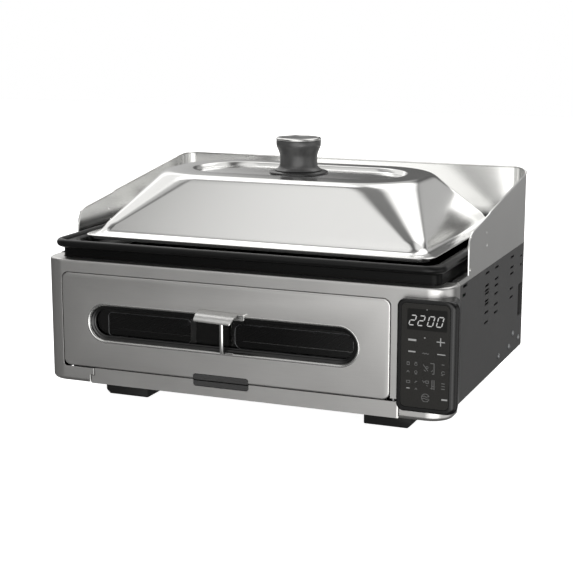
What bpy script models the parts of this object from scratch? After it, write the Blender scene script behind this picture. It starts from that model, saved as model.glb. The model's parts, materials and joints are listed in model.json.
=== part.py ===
"""Countertop electric griddle over a shallow oven: stainless bezel with a drop-down windowed door,
a lift-out griddle pan with a rolled rim, a dome lid with a centre knob, a three-sided splash guard,
a crumb tray and a touch control pod.

World frame: metres, +Z up, origin on the ground at the centre of the overall footprint.
Drafting frame of all constants: millimetres, X from the bezel's centre (right is +), Y back from
the bezel's front face, Z up from the bezel's lower edge.  to_world() turns it into world metres.
Bounds are (left, right, front, back) in plan or (left, right, bottom, top) seen from the front;
boxes are (left, right, front, back, bottom, top)."""

import math

import bpy
import bmesh
from mathutils import Vector

for _old in list(bpy.data.objects):
    bpy.data.objects.remove(_old, do_unlink=True)

# ------------------------------------------------------------------ driving dimensions (mm)
MM = 0.001
GAP = 0.35                      # clearance between neighbouring pieces
SHEET = 1.2                     # sheet thickness

BEZEL_HALF = 250.0              # half the bezel's width
BEZEL_H = 145.4
BEZEL_R = 26.0                  # plan radius of the bezel's front corners
BEZEL_CORNER_X = BEZEL_HALF - BEZEL_R
BEZEL_LIP_R = 4.0               # rounding between the bezel's face and its top flange
WRAP_Y = 38.0                   # how far the bezel wraps back
FLANGE = 16.0
SIDE_X = 247.5                  # outer face of the side panels and splash guard
DEPTH = 371.0
REAR_R = 22.0                   # plan radius of the rear corners
SEAM_Z = 142.4                  # joint between side panel and splash guard

WING_Y = 80.6                   # front edge of the splash wings
WING_R = 18.0                   # rounding of the wings' upper front corner
GUARD_FRONT_Z = 182.6           # the guard's sloping top edge, carried forward to Y = 0
GUARD_REAR_Z = 233.1            # the same slope carried back to DEPTH
GUARD_TOP = 236.0

FOOT_H = 25.5
FOOT_X = (-165.0, 165.0)
FOOT_Y = (62.0, 315.0)

POD_LEFT, POD_RIGHT = 195.0, 262.0
POD_FRONT, POD_BOTTOM, POD_TOP = -12.0, 13.4, 137.0
POD_POCKET = (199.6, 254.0, 18.6, 133.2)    # recess for the control glass
POD_POCKET_R = 5.5
HARNESS_HOLE_X = (206.0, 218.0)             # hole through pod and bezel
HARNESS_HOLE_Z = (66.0, 84.0)

DOOR_LEFT, DOOR_RIGHT = -224.0, 184.0
DOOR_BOTTOM, DOOR_TOP = 19.6, 132.6
DOOR = (DOOR_LEFT, DOOR_RIGHT, DOOR_BOTTOM, DOOR_TOP)
DOOR_CX = (DOOR_LEFT + DOOR_RIGHT) / 2
DOOR_FACE = -0.5
DOOR_BACK = 13.6
DOOR_CLEARANCE = 1.1
WINDOW = (-189.5, 148.0, 52.0, 97.6)
HINGE_Y, HINGE_Z = 6.0, 25.0    # door hinge axis
HANDLE_BACK = DOOR_FACE - GAP
HANDLE_REACH = 16.6             # foremost part of the whole product

TRAY_LEFT, TRAY_RIGHT = -187.7, 194.6
TRAY_CLEARANCE = 0.7
STEP_X, STEP_Z = 4.9, 9.9       # step at the tray front's left end
TRAY_TOP = 18.2
TRAY_PAN = (-182.4, 185.0, 4.0, 320.0)
TRAY_PAN_R = 8.0
RECESS_X = (-53.0, 15.8)        # finger recess across the door's lower edge and the tray front
RECESS_CUT_X = (RECESS_X[0] - GAP, RECESS_X[1] + GAP)

LINER_LEFT, LINER_RIGHT = -208.0, 168.0
LINER_FRONT, LINER_BACK = 19.0, 335.0
LINER_BOTTOM, LINER_TOP = 30.0, 128.0
RACK_Z = 61.8
RACK_FRONT, RACK_BACK = 22.0, 326.0
RACK_INSET = 2.4                # from the liner's outer sides to the rack
RACK_BARS = 13                  # spaces between the front-to-back bars
RACK_BAR = 3.0                  # bar width and thickness

OVEN_ELEMENT_Z = 44.0
GRIDDLE_ELEMENT_Z = 143.4
ELEMENT_R = 3.2
ELEMENT_BEND = 16.0
PROBE_Y = 183.0                 # griddle probe, on the centre line

DECK = (-233.5, 233.5, 16.5, 354.4)
RIM_X = 235.3                   # pan rim tube centre line, half width
RIM_FRONT, RIM_BACK = 5.2, 349.5
RIM_Z, RIM_R = 165.5, 4.7

LID_CX, LID_CY = 1.6, 188.5
LID_HALF_X, LID_HALF_Y = 217.0, 155.5       # lid flange
LID_Z = 170.9
PLATEAU_Z = 241.0
FLOOR_Z = PLATEAU_Z - 1.8       # sunken floor of the plateau
FLOOR_UNDER_Z = PLATEAU_Z - 3.0
KNOB_FLANGE_Z = FLOOR_Z + GAP
KNOB_Z = KNOB_FLANGE_Z + 2.6 + GAP
KNOB_H = 36.4
KNOB_HOLE_R = 3.6

CENTRE_X = (POD_RIGHT - BEZEL_HALF) / 2
CENTRE_Y = (DEPTH + HANDLE_BACK - HANDLE_REACH) / 2


def to_world(x, y, z):
    return Vector(((x - CENTRE_X) * MM, (y - CENTRE_Y) * MM, (z + FOOT_H) * MM))


# ------------------------------------------------------------------ materials
# finish: (base colour, roughness, metallic, alpha)
PALETTE = {
    "stainless": ((0.60, 0.60, 0.59), 0.32, 1.0, 1.0),
    "lid_steel": ((0.72, 0.72, 0.71), 0.25, 1.0, 1.0),
    "chrome": ((0.85, 0.85, 0.85), 0.08, 1.0, 1.0),
    "galvanised": ((0.50, 0.51, 0.52), 0.45, 1.0, 1.0),
    "panel_black": ((0.075, 0.075, 0.075), 0.55, 0.0, 1.0),
    "enamel_black": ((0.012, 0.012, 0.012), 0.35, 0.0, 1.0),
    "pan_black": ((0.015, 0.015, 0.015), 0.40, 0.0, 1.0),
    "gloss_black": ((0.02, 0.02, 0.02), 0.12, 0.0, 1.0),
    "matte_black": ((0.03, 0.03, 0.03), 0.60, 0.0, 1.0),
    "gunmetal": ((0.09, 0.09, 0.09), 0.35, 0.6, 1.0),
    "glass": ((0.10, 0.11, 0.11), 0.03, 0.0, 0.35),
    "rubber": ((0.02, 0.02, 0.02), 0.80, 0.0, 1.0),
    "element": ((0.20, 0.19, 0.18), 0.50, 1.0, 1.0),
    "board": ((0.03, 0.16, 0.07), 0.50, 0.0, 1.0),
}


def material(name, finish):
    colour, roughness, metallic, alpha = PALETTE[finish]
    result = bpy.data.materials.new(name)
    result.use_nodes = True
    inputs = result.node_tree.nodes["Principled BSDF"].inputs
    inputs["Base Color"].default_value = (*colour, 1.0)
    inputs["Roughness"].default_value = roughness
    inputs["Metallic"].default_value = metallic
    inputs["Alpha"].default_value = alpha
    return result


# ------------------------------------------------------------------ bodies
# One empty per body; those of the moving bodies mark where they turn or lift.
PIVOTS = {
    "cabinet": (CENTRE_X, CENTRE_Y, -FOOT_H),
    "door": (DOOR_CX, HINGE_Y, HINGE_Z),
    "tray": (3.4, 0.0, 9.0),
    "rack": ((LINER_LEFT + LINER_RIGHT) / 2, RACK_FRONT, RACK_Z),
    "pan": (0.0, 177.0, RIM_Z),
    "lid": (LID_CX, LID_CY, LID_Z),
}


def pivot_empty(body, place):
    empty = bpy.data.objects.new(body + "_pivot", None)
    empty.location = to_world(*place)
    bpy.context.scene.collection.objects.link(empty)
    return empty


BODIES = {_body: pivot_empty(_body, _place) for _body, _place in PIVOTS.items()}


# ------------------------------------------------------------------ outlines and paths (mm)
def arc(cx, cy, radius, start, end, steps):
    angles = [math.radians(start + (end - start) * i / steps) for i in range(steps + 1)]
    return [(cx + radius * math.cos(a), cy + radius * math.sin(a)) for a in angles]


def circle(cx, cy, radius, sides):
    angles = [2 * math.pi * i / sides for i in range(sides)]
    return [(cx + radius * math.cos(a), cy + radius * math.sin(a)) for a in angles]


def rounded_rect(x0, x1, y0, y1, radius, steps=4):
    """Counter-clockwise, always 4 (steps + 1) points; the radius is held under half a side."""
    radius = min(radius, 0.4995 * min(x1 - x0, y1 - y0))
    return (arc(x1 - radius, y0 + radius, radius, -90, 0, steps)
            + arc(x1 - radius, y1 - radius, radius, 0, 90, steps)
            + arc(x0 + radius, y1 - radius, radius, 90, 180, steps)
            + arc(x0 + radius, y0 + radius, radius, 180, 270, steps))


def inset(bounds, by):
    x0, x1, y0, y1 = bounds
    return x0 + by, x1 - by, y0 + by, y1 - by


def place(outline, axis, at):
    """Stands an outline across an axis: Z takes (x, y), Y takes (x, z) and X takes (y, z)."""
    slot = "XYZ".index(axis)
    return [(*point[:slot], at, *point[slot:]) for point in outline]


def bent(corners, radius, steps=3):
    """Polyline with its inner corners rounded."""
    points = [Vector(corner) for corner in corners]
    path = [tuple(points[0])]
    for before, corner, after in zip(points[:-2], points[1:-1], points[2:]):
        start = corner + (before - corner).normalized() * radius
        end = corner + (after - corner).normalized() * radius
        for i in range(steps + 1):
            t = i / steps
            path.append(tuple((1 - t) ** 2 * start + 2 * t * (1 - t) * corner + t ** 2 * end))
    path.append(tuple(points[-1]))
    return path


def wall_corner(cx, cy, radius, start, end, steps):
    """Corner of a wall path, as (plan point, inward normal) pairs."""
    return list(zip(arc(cx, cy, radius, start, end, steps), arc(0, 0, -1, start, end, steps)))


def mirror(path):
    return [((-x, y), (-inward_x, inward_y)) for (x, y), (inward_x, inward_y) in path]


def wall_loop(point, inward, profile):
    """One wall section; profile is (distance inward, z)."""
    return [(point[0] + depth * inward[0], point[1] + depth * inward[1], z)
            for depth, z in profile]


# ------------------------------------------------------------------ solids
def store(name, mesh, parent):
    """Stores a bmesh (in drafting mm) as an object whose origin is the middle of its box."""
    for vert in mesh.verts:
        vert.co = to_world(*vert.co)
    bmesh.ops.recalc_face_normals(mesh, faces=mesh.faces)
    if mesh.calc_volume(signed=True) < 0:
        bmesh.ops.reverse_faces(mesh, faces=mesh.faces)
    low = Vector([min(vert.co[i] for vert in mesh.verts) for i in range(3)])
    high = Vector([max(vert.co[i] for vert in mesh.verts) for i in range(3)])
    middle = (low + high) * 0.5
    for vert in mesh.verts:
        vert.co -= middle
    data = bpy.data.meshes.new(name)
    mesh.to_mesh(data)
    mesh.free()
    data.shade_smooth()
    data.set_sharp_from_angle(angle=math.radians(32))
    part = bpy.data.objects.new(name, data)
    bpy.context.scene.collection.objects.link(part)
    part.parent = parent
    part.location = middle - parent.location
    return part


def solid(name, mesh, finish, body):
    part = store(name, mesh, BODIES[body])
    part.data.materials.append(material(name + "_finish", finish))
    return part


def boolean(part, mesh, operation="DIFFERENCE"):
    """Adds a Boolean with a hidden helper shape."""
    index = len(part.modifiers)
    role = "cut" if operation == "DIFFERENCE" else "add"
    helper = store(f"{part.name}_{role}{index}", mesh, part.parent)
    helper.hide_render = True
    helper.display_type = "WIRE"
    modifier = part.modifiers.new(f"bool{index}", "BOOLEAN")
    modifier.operation = operation
    modifier.object = helper


def loft_mesh(loops, closed=False, into=None):
    """Skin over equal loops, capped at both ends or closed into a ring."""
    mesh = into or bmesh.new()
    rows = [[mesh.verts.new(point) for point in loop] for loop in loops]
    count = len(rows[0])
    pairs = list(zip(rows[:-1], rows[1:]))
    if closed:
        pairs.append((rows[-1], rows[0]))
    for row, after in pairs:
        for i in range(count):
            j = (i + 1) % count
            mesh.faces.new((row[i], row[j], after[j], after[i]))
    if not closed:
        mesh.faces.new(rows[0][::-1])
        mesh.faces.new(rows[-1])
    return mesh


def prism_mesh(outline, axis, start, end, into=None):
    return loft_mesh([place(outline, axis, start), place(outline, axis, end)], into=into)


def prism(name, outline, axis, start, end, finish, body):
    return solid(name, prism_mesh(outline, axis, start, end), finish, body)


def box_mesh(*boxes, into=None):
    mesh = into or bmesh.new()
    for x0, x1, y0, y1, z0, z1 in boxes:
        prism_mesh([(x0, y0), (x1, y0), (x1, y1), (x0, y1)], "Z", z0, z1, mesh)
    return mesh


def box(name, bounds, finish, body):
    return solid(name, box_mesh(bounds), finish, body)


def ring_loft(name, rows, finish, body, closed=False, steps=4):
    """Loft of level rounded rectangles; rows are (left, right, front, back, radius, z)."""
    loops = [place(rounded_rect(*row[:5], steps), "Z", row[5]) for row in rows]
    return solid(name, loft_mesh(loops, closed), finish, body)


def lathe_mesh(profile, cx, cy, sides=20, closed=False):
    """Turned about a vertical axis; profile is (radius, z), and radius 0 at its end is a pole."""
    mesh = bmesh.new()
    rows = []
    for radius, z in profile:
        points = circle(cx, cy, radius, sides) if radius else [(cx, cy)]
        rows.append([mesh.verts.new((x, y, z)) for x, y in points])
    pairs = list(zip(rows[:-1], rows[1:]))
    if closed:
        pairs.append((rows[-1], rows[0]))
    for row, after in pairs:
        for i in range(sides):
            j = (i + 1) % sides
            if len(after) == 1:
                mesh.faces.new((row[i], row[j], after[0]))
            else:
                mesh.faces.new((row[i], row[j], after[j], after[i]))
    if not closed:
        mesh.faces.new(rows[0][::-1])
        if len(rows[-1]) > 1:
            mesh.faces.new(rows[-1])
    return mesh


def lathe(name, profile, cx, cy, finish, body, sides=20, closed=False):
    return solid(name, lathe_mesh(profile, cx, cy, sides, closed), finish, body)


def tube(name, path, radius, finish, body, sides=8, closed=False):
    """Round tube along a polyline that sets out level, by parallel transport."""
    points = [Vector(point) for point in path]
    last = len(points) - 1
    across = Vector((0, 0, 1))
    loops = []
    for i, point in enumerate(points):
        before = points[i - 1] if closed or i > 0 else point
        after = points[(i + 1) % (last + 1)] if closed or i < last else point
        along = (after - before).normalized()
        across = (across - along * across.dot(along)).normalized()
        other = along.cross(across)
        loops.append([tuple(point + across * u + other * v)
                      for u, v in circle(0, 0, radius, sides)])
    return solid(name, loft_mesh(loops, closed), finish, body)


# ------------------------------------------------------------------ cabinet shell
def front_bezel():
    def lip(radius, angles):
        return [(BEZEL_LIP_R - radius * math.cos(math.radians(a)),
                 BEZEL_H - BEZEL_LIP_R + radius * math.sin(math.radians(a))) for a in angles]

    path = [((-BEZEL_HALF, WRAP_Y), (1.0, 0.0))]
    path += wall_corner(-BEZEL_CORNER_X, BEZEL_R, BEZEL_R, 180, 270, 6)
    path += wall_corner(BEZEL_CORNER_X, BEZEL_R, BEZEL_R, 270, 360, 6)
    path.append(((BEZEL_HALF, WRAP_Y), (-1.0, 0.0)))
    under = BEZEL_H - SHEET
    profile = [(0, 5.0), (0, BEZEL_H - BEZEL_LIP_R), *lip(BEZEL_LIP_R, (30, 60)),
               (BEZEL_LIP_R, BEZEL_H), (FLANGE, BEZEL_H), (FLANGE, under), (BEZEL_LIP_R, under),
               *lip(BEZEL_LIP_R - SHEET, (60, 30)),
               (SHEET, BEZEL_H - BEZEL_LIP_R), (SHEET, 5.0), (2.3, 2.3),
               (5, SHEET), (14, SHEET), (14, 0), (5, 0), (1.46, 1.46)]
    loops = [wall_loop(point, inward, profile) for point, inward in path]
    part = solid("front_bezel", loft_mesh(loops), "stainless", "cabinet")
    # door opening: round upper corners, tighter lower ones so that the door's foot can swing past
    left, right = DOOR_LEFT - DOOR_CLEARANCE, DOOR_RIGHT + DOOR_CLEARANCE
    for bottom, top, radius in ((40.0, DOOR_TOP + DOOR_CLEARANCE, 9.0), (18.2, 90.0, 4.0)):
        opening = rounded_rect(left, right, bottom, top, radius)
        boolean(part, prism_mesh(opening, "Y", -3.0, 8.0))
    # tray opening, stepped at its left end
    left, right = TRAY_LEFT - TRAY_CLEARANCE, TRAY_RIGHT + TRAY_CLEARANCE
    boolean(part, box_mesh((left, right, -3.0, 5.0, -2.0, 10.6)))
    left = TRAY_LEFT + STEP_X - TRAY_CLEARANCE
    boolean(part, box_mesh((left, right, -3.0, 5.0, 10.0, 22.0)))
    boolean(part, box_mesh((*HARNESS_HOLE_X, -3.0, 6.0, *HARNESS_HOLE_Z)))


def guard_top(y):
    """Height of the splash guard's top edge at a depth."""
    z = GUARD_FRONT_Z + (GUARD_REAR_Z - GUARD_FRONT_Z) * y / DEPTH
    if y < WING_Y + WING_R:
        t = (WING_Y + WING_R - y) / WING_R
        z -= WING_R * (1 - math.sqrt(max(0.0, 1 - t * t)))
    if y < 170.0:       # small step down on the way forward
        z -= 1.3
    if y > DEPTH - REAR_R:
        z += (GUARD_TOP - GUARD_REAR_Z) * (y - (DEPTH - REAR_R)) / REAR_R
    return z


def splash_guard():
    # stations along a wing: its low front run, the rounded corner, then the step in the top edge
    stations = [WRAP_Y + 0.6, *(WING_Y + d for d in (-0.02, 0, 1.4, 5.2, 11, WING_R)), 168.5, 171.5]
    left = [((-SIDE_X, y), (1.0, 0.0)) for y in stations]
    left += wall_corner(-SIDE_X + REAR_R, DEPTH - REAR_R, REAR_R, 180, 90, 6)
    loops = []
    for point, inward in left + mirror(reversed(left)):
        y = point[1]
        top = BEZEL_H + 0.7 if y < WING_Y - 0.01 else guard_top(y)
        under = BEZEL_H - SHEET
        profile = [(0, SEAM_Z + 0.2), (0, top), (SHEET, top), (SHEET, BEZEL_H), (12, BEZEL_H),
                   (12, under), (SHEET, under), (SHEET, SEAM_Z + 0.2)]
        loops.append(wall_loop(point, inward, profile))
    solid("splash_guard", loft_mesh(loops), "stainless", "cabinet")


# side vents: (column's middle Y, slot heights)
VENTS = (
    (166.0, (136, 121, 114, 101, 89, 77)),
    (211.0, (135, 121, 113, 103, 90, 80)),
    (289.0, (134, 121, 113, 94, 83)),
)


def side_panel(name, side):
    path = [((SIDE_X, 30.0), (-1.0, 0.0))]
    path += wall_corner(SIDE_X - REAR_R, DEPTH - REAR_R, REAR_R, 0, 90, 5)
    path.append(((222.0, DEPTH), (0.0, -1.0)))
    if side < 0:
        path = mirror(path)
    # wall with a flange turned in along its lower edge
    top, bottom = SEAM_Z - 0.2, 8.0
    profile = [(0, bottom), (0, top), (SHEET, top), (SHEET, bottom + SHEET),
               (11.5, bottom + SHEET), (11.5, bottom)]
    loops = [wall_loop(point, inward, profile) for point, inward in path]
    part = solid(name, loft_mesh(loops), "panel_black", "cabinet")
    x0, x1 = sorted((side * (SIDE_X - 4), side * (SIDE_X + 3)))
    slots = [(x0, x1, y - 9.0, y + 9.0, z - 1.5, z + 1.5) for y, heights in VENTS for z in heights]
    boolean(part, box_mesh(*slots, (x0, x1, 326.0, 348.0, 50.0, 92.0)))


def rear_panel():
    front, back = DEPTH - 2.9, DEPTH - 1.7
    part = box("rear_panel", (-221.5, 221.5, front, back, 1.7, SEAM_Z - 0.2),
               "panel_black", "cabinet")
    slots = [(x - 30, x + 30, front - 4, back + 4, z - 1.6, z + 1.6)
             for z in (96.0, 106.0, 116.0) for x in (-150.0, -50.0, 50.0, 150.0)]
    inlet_hole = (169.0, 206.0, front - 4, back + 4, 17.0, 47.0)
    boolean(part, box_mesh(*slots, inlet_hole))


def base_plate():
    radius = 11.4
    half = arc(BEZEL_CORNER_X, BEZEL_R, radius, -90, 0, 4)
    half += [(BEZEL_CORNER_X + radius, 38.6)] + arc(221.4, 353.0, 14.0, 0, 90, 3)
    outline = half + [(-x, y) for x, y in reversed(half)]
    part = prism("base_plate", outline, "Z", 0.0, SHEET, "galvanised", "cabinet")
    for side in (-1, 1):        # upturns
        x0, x1 = sorted((side * 234.0, side * 235.2))
        boolean(part, box_mesh((x0, x1, 39.0, 348.0, 0.4, 26.0)), "UNION")
    holes = bmesh.new()
    for x in FOOT_X:
        for y in FOOT_Y:
            prism_mesh(circle(x, y, 2.6, 8), "Z", -3, 4, holes)
    slots = [(x - 10.0, x + 10.0, 120.0, 260.0, -3, 4) for x in (-50.0, 0.0, 50.0)]
    boolean(part, box_mesh(*slots, into=holes))


def foot(name, x, y):
    side = 1 if x > 0 else -1
    inner, outer = x - side * 27.0, x + side * 30.0
    chamfer = 7
    bottom, top = -FOOT_H, -GAP
    outline = [(inner, bottom), (outer - side * chamfer, bottom), (outer, bottom + chamfer),
               (outer, top), (inner, top)]
    part = prism(name, outline, "Y", y - 15, y + 30, "rubber", "cabinet")
    bore = [(5.6, bottom - 2), (5.6, -12.0), (2.7, -12.0), (2.7, top + 2)]
    boolean(part, lathe_mesh(bore, x, y, 10))
    lathe(name + "_screw", [(4.8, -15.5), (4.8, -12.4), (2.2, -12.4), (2.2, 1.8)], x, y,
          "galvanised", "cabinet", 8)


def feet():
    for x, side in zip(FOOT_X, ("left", "right")):
        for y, end in zip(FOOT_Y, ("front", "rear")):
            foot(f"{end}_{side}_foot", x, y)


def side_screws():
    """Screw heads just outside the right side panel."""
    profile = ((SIDE_X + GAP, 3.2), (SIDE_X + 1.6, 2.8), (SIDE_X + 2.2, 1.6))   # (x, radius)
    for i, (y, z) in enumerate(((230, 21), (282, 21), (332, 22), (301, 34)), 1):
        loops = [place(circle(y, z, radius, 8), "X", x) for x, radius in profile]
        solid(f"side_panel_screw_{i}", loft_mesh(loops), "galvanised", "cabinet")


def lower_rail():
    box("lower_rail", (-225.6, 185.6, 16.6, 18.2, 18.0, 29.6), "galvanised", "cabinet")


# ------------------------------------------------------------------ inside the cabinet
OVEN_ELEMENT = [(140, 333), (140, 70), (-180, 70), (-180, 290), (100, 290), (100, 333)]     # (x, y)
GRIDDLE_ELEMENT = [     # (x, y)
    (-190, 330), (-190, 50), (-110, 50), (-110, 300), (-40, 300), (-40, 60),
    (40, 60), (40, 300), (110, 300), (110, 50), (190, 50), (190, 330)]
DECK_SECTION = [        # (inset from DECK, radius, z)
    (0, 10, 139.0), (0, 10, 160.3), (6, 8, 160.3), (6, 8, 158.6), (1.8, 8.5, 158.6),
    (1.8, 8.5, 139.0)]


def oven_liner():
    """Box open at the front and below."""
    part = box("oven_liner", (LINER_LEFT, LINER_RIGHT, LINER_FRONT, LINER_BACK,
                              LINER_BOTTOM, LINER_TOP), "galvanised", "cabinet")
    boolean(part, box_mesh((LINER_LEFT + SHEET, LINER_RIGHT - SHEET, LINER_FRONT - 3,
                            LINER_BACK - SHEET, LINER_BOTTOM - 3, LINER_TOP - SHEET)))


def rack_rail(name, wall, inward):
    wall += inward * (SHEET + GAP)
    outline = [(wall, 52.0), (wall + inward * SHEET, 52.0), (wall + inward * SHEET, 59.6),
               (wall + inward * 8, 59.6), (wall + inward * 8, 60.8), (wall, 60.8)]
    prism(name, outline, "Y", 24.0, 330.0, "galvanised", "cabinet")


def hinge_bracket(name, left, right):
    outline = [(2.4, 5.6), (5.6, 1.9), (14.0, 1.9), (14.0, 32.0), (2.4, 32.0)]
    part = prism(name, outline, "X", left, right, "galvanised", "cabinet")
    boolean(part, prism_mesh(circle(HINGE_Y, HINGE_Z, 1.55, 10), "X", left - 2, right + 2))


def heating():
    for name, path, z in (("oven_element", OVEN_ELEMENT, OVEN_ELEMENT_Z),
                          ("griddle_element", GRIDDLE_ELEMENT, GRIDDLE_ELEMENT_Z)):
        tube(name, bent(place(path, "Z", z), ELEMENT_BEND), ELEMENT_R, "element", "cabinet")
    part = box("heat_reflector", (-222.0, 222.0, 30.0, 345.0, 131.0, 132.2),
               "galvanised", "cabinet")
    boolean(part, lathe_mesh([(6.0, 128), (6.0, 136)], 0, PROBE_Y, 10))
    lathe("griddle_probe", [(4.6, 130.0), (4.6, 147.0), (3.6, 149.5)], 0, PROBE_Y,
          "galvanised", "cabinet", 10)
    prism("oven_probe", circle(250, 110, 2, 8), "X", 150.0, LINER_RIGHT - SHEET - GAP,
          "galvanised", "cabinet")


def deck_frame():
    rows = [(*inset(DECK, by), radius, z) for by, radius, z in DECK_SECTION]
    ring_loft("deck_frame", rows, "enamel_black", "cabinet", closed=True)


# ------------------------------------------------------------------ controls and power
def control_housing():
    clearance = 0.5             # to the bezel
    corner = 7
    outline = [(POD_LEFT, POD_FRONT)]
    outline += arc(POD_RIGHT - corner, POD_FRONT + corner, corner, -90, 0, 4)
    outline += [(256.3, 21.0), (BEZEL_HALF + clearance, 21.0)]
    outline += arc(BEZEL_CORNER_X, BEZEL_R, BEZEL_R + clearance, -11, -90, 5)
    outline.append((POD_LEFT, -clearance))
    part = prism("control_housing", outline, "Z", POD_BOTTOM, POD_TOP, "gloss_black", "cabinet")
    # round the four corners seen from the front
    face = rounded_rect(POD_LEFT, POD_RIGHT, POD_BOTTOM, POD_TOP, 8.5)
    boolean(part, prism_mesh(face, "Y", POD_FRONT - 5, 30.0), "INTERSECT")
    pocket = rounded_rect(*POD_POCKET, POD_POCKET_R)
    boolean(part, prism_mesh(pocket, "Y", POD_FRONT - 4, POD_FRONT + 1.6))
    boolean(part, box_mesh((203.0, 250.0, POD_FRONT - 2, -3.2, 22.0, 130.0)))
    boolean(part, box_mesh((*HARNESS_HOLE_X, -6.0, 4.0, *HARNESS_HOLE_Z)))


def pod_contents():
    clearance = 0.4
    outline = rounded_rect(*inset(POD_POCKET, clearance), POD_POCKET_R - clearance)
    prism("control_glass", outline, "Y", POD_FRONT + 0.1, POD_FRONT + 1.2,
          "gloss_black", "cabinet")
    left, right, front = 204.0, 248.0, POD_FRONT + 2.0
    box("display_module", (left, right, front, POD_FRONT + 7.0, 103.0, 128.0),
        "matte_black", "cabinet")
    box("touch_board", (left, right, front, POD_FRONT + 3.6, 24.0, 101.0), "board", "cabinet")


def power_board():
    part = box("power_board", (214.0, 215.6, 72.0, 190.0, 28.0, 112.0), "board", "cabinet")
    blocks = box_mesh((215.0, 231.0, 82.0, 104.0, 36.0, 62.0),
                      (215.0, 228.0, 120.0, 150.0, 40.0, 72.0),
                      (215.0, 226.0, 160.0, 180.0, 60.0, 100.0))
    boolean(part, blocks, "UNION")


def wiring_harness():
    path = bent([(222, 69, 75), (222, 36, 75), (212, 16, 75), (212, -2.0, 75)], 6)
    tube("wiring_harness", path, 3.0, "rubber", "cabinet", sides=7)


def power_inlet():
    part = box("power_inlet", (170.0, 205.0, 350.0, 370.2, 18.0, 46.0), "matte_black", "cabinet")
    boolean(part, box_mesh((165.0, 210.0, 369.7, 370.9, 14.0, 50.0)), "UNION")
    boolean(part, box_mesh((175.0, 200.0, 356.0, 374.0, 23.0, 41.0)))


# ------------------------------------------------------------------ door
TRIM_BACK = DOOR_FACE + 6.0
GASKET_FRONT = TRIM_BACK + 1.5
INNER_PANEL_FRONT = GASKET_FRONT + 4.3
# (distance ahead of HANDLE_BACK, z)
HANDLE_SECTION = [
    (0, 101.2), (3.0, 101.6), (9.0, 99.6), (14.0, 96.6), (16.3, 93.6), (HANDLE_REACH, 91.2),
    (15.3, 91.0), (15.0, 93.0), (13.0, 95.4), (8.4, 98.2), (3.4, 99.9), (1.4, 99.6),
    (1.4, 93.0), (0, 93.0)]


def window_outline(by):
    """The window's stadium outline, drawn in by a distance."""
    return rounded_rect(*inset(WINDOW, by), 60.0, 7)


def door_outer_panel():
    # (inset, y) from the back edge round to the face
    section = ((0, DOOR_BACK), (0, DOOR_FACE + 2.4), (0.7, DOOR_FACE + 0.7), (2.4, DOOR_FACE))
    loops = [place(rounded_rect(*inset(DOOR, by), 8.5 - by * 0.8), "Y", y) for by, y in section]
    part = solid("door_outer_panel", loft_mesh(loops), "stainless", "door")
    hollow = rounded_rect(*inset(DOOR, SHEET), 7.0)
    boolean(part, prism_mesh(hollow, "Y", DOOR_FACE + SHEET + 0.8, DOOR_BACK + 3))
    boolean(part, prism_mesh(window_outline(0.0), "Y", DOOR_FACE - 3, 6.0))
    boolean(part, box_mesh((*RECESS_CUT_X, DOOR_FACE - 3, 6.0, DOOR_BOTTOM - 3, 26.2)))
    pin_hole = circle(HINGE_Y, HINGE_Z, 1.6, 10)
    cut = prism_mesh(pin_hole, "X", DOOR_LEFT - 3, DOOR_LEFT + 4)
    prism_mesh(pin_hole, "X", DOOR_RIGHT - 4, DOOR_RIGHT + 3, cut)
    boolean(part, cut)


def window_ring(name, section, finish):
    """Ring round the window; section is (inset, y)."""
    loops = [place(window_outline(by), "Y", y) for by, y in section]
    solid(name, loft_mesh(loops, closed=True), finish, "door")


def window():
    # dished trim: nearly flush outside, sloping in to the glass
    front = DOOR_FACE + 0.1
    back = TRIM_BACK + 1.2
    window_ring("window_trim", ((GAP, front), (1.0, front - 0.1), (5.6, TRIM_BACK), (5.6, back),
                                (4.6, back), (GAP, front + 1.8)), "chrome")
    front = GASKET_FRONT
    back = front + 1.2
    window_ring("window_gasket", ((-3.0, front), (5.0, front), (5.0, back), (-3.0, back)),
                "rubber")
    prism("window_glass", rounded_rect(*inset(WINDOW, -3), 8.0, 3), "Y", front + 1.5, front + 4.0,
          "glass", "door")


def door_inner_panel():
    front = INNER_PANEL_FRONT
    part = prism("door_inner_panel", rounded_rect(*inset(DOOR, SHEET + GAP), 6.6), "Y", front,
                 DOOR_BACK, "galvanised", "door")
    left, right, bottom, top = WINDOW
    bottom += 5.6
    top -= 11.6
    cut = bmesh.new()
    for outline in (rounded_rect(left + 21, -60.5, bottom, top, 5.0),
                    rounded_rect(-5.0, right - 10, bottom, top, 8.0)):
        prism_mesh(outline, "Y", front - 3, DOOR_BACK + 3, cut)
    boolean(part, cut)


def door_fittings():
    # bent tab handle: a foot on the door's face and a tongue folded forward
    section = [(HANDLE_BACK - ahead, z) for ahead, z in HANDLE_SECTION]
    part = prism("door_handle", section, "X", -43.5, 5.0, "stainless", "door")
    foot_end = (4.0, 12.7, HANDLE_BACK - 1.3, HANDLE_BACK - 0.1, 93.2, 101.0)
    boolean(part, box_mesh(foot_end), "UNION")
    box("window_stay", (-17.3, -13.3, HANDLE_BACK - 3.9, HANDLE_BACK - 1.9, 53.5, 99.3),
        "chrome", "door")
    for name, left, right in (("left_hinge_pin", DOOR_LEFT - 5.6, DOOR_LEFT + 5.0),
                              ("right_hinge_pin", DOOR_RIGHT - 5.0, DOOR_RIGHT + 5.6)):
        prism(name, circle(HINGE_Y, HINGE_Z, 1.2, 8), "X", left, right, "galvanised", "door")
    # upper half of the finger recess, as (y, z)
    section = [(DOOR_FACE + 0.1, 20.0), (DOOR_FACE + 0.6, 19.3), (2.0, 19.3), (2.0, 22.0),
               (4.8, 24.6), (4.8, 25.9), (DOOR_FACE + 0.1, 25.9)]
    prism("door_recess_liner", section, "X", *RECESS_X, "matte_black", "door")


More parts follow.
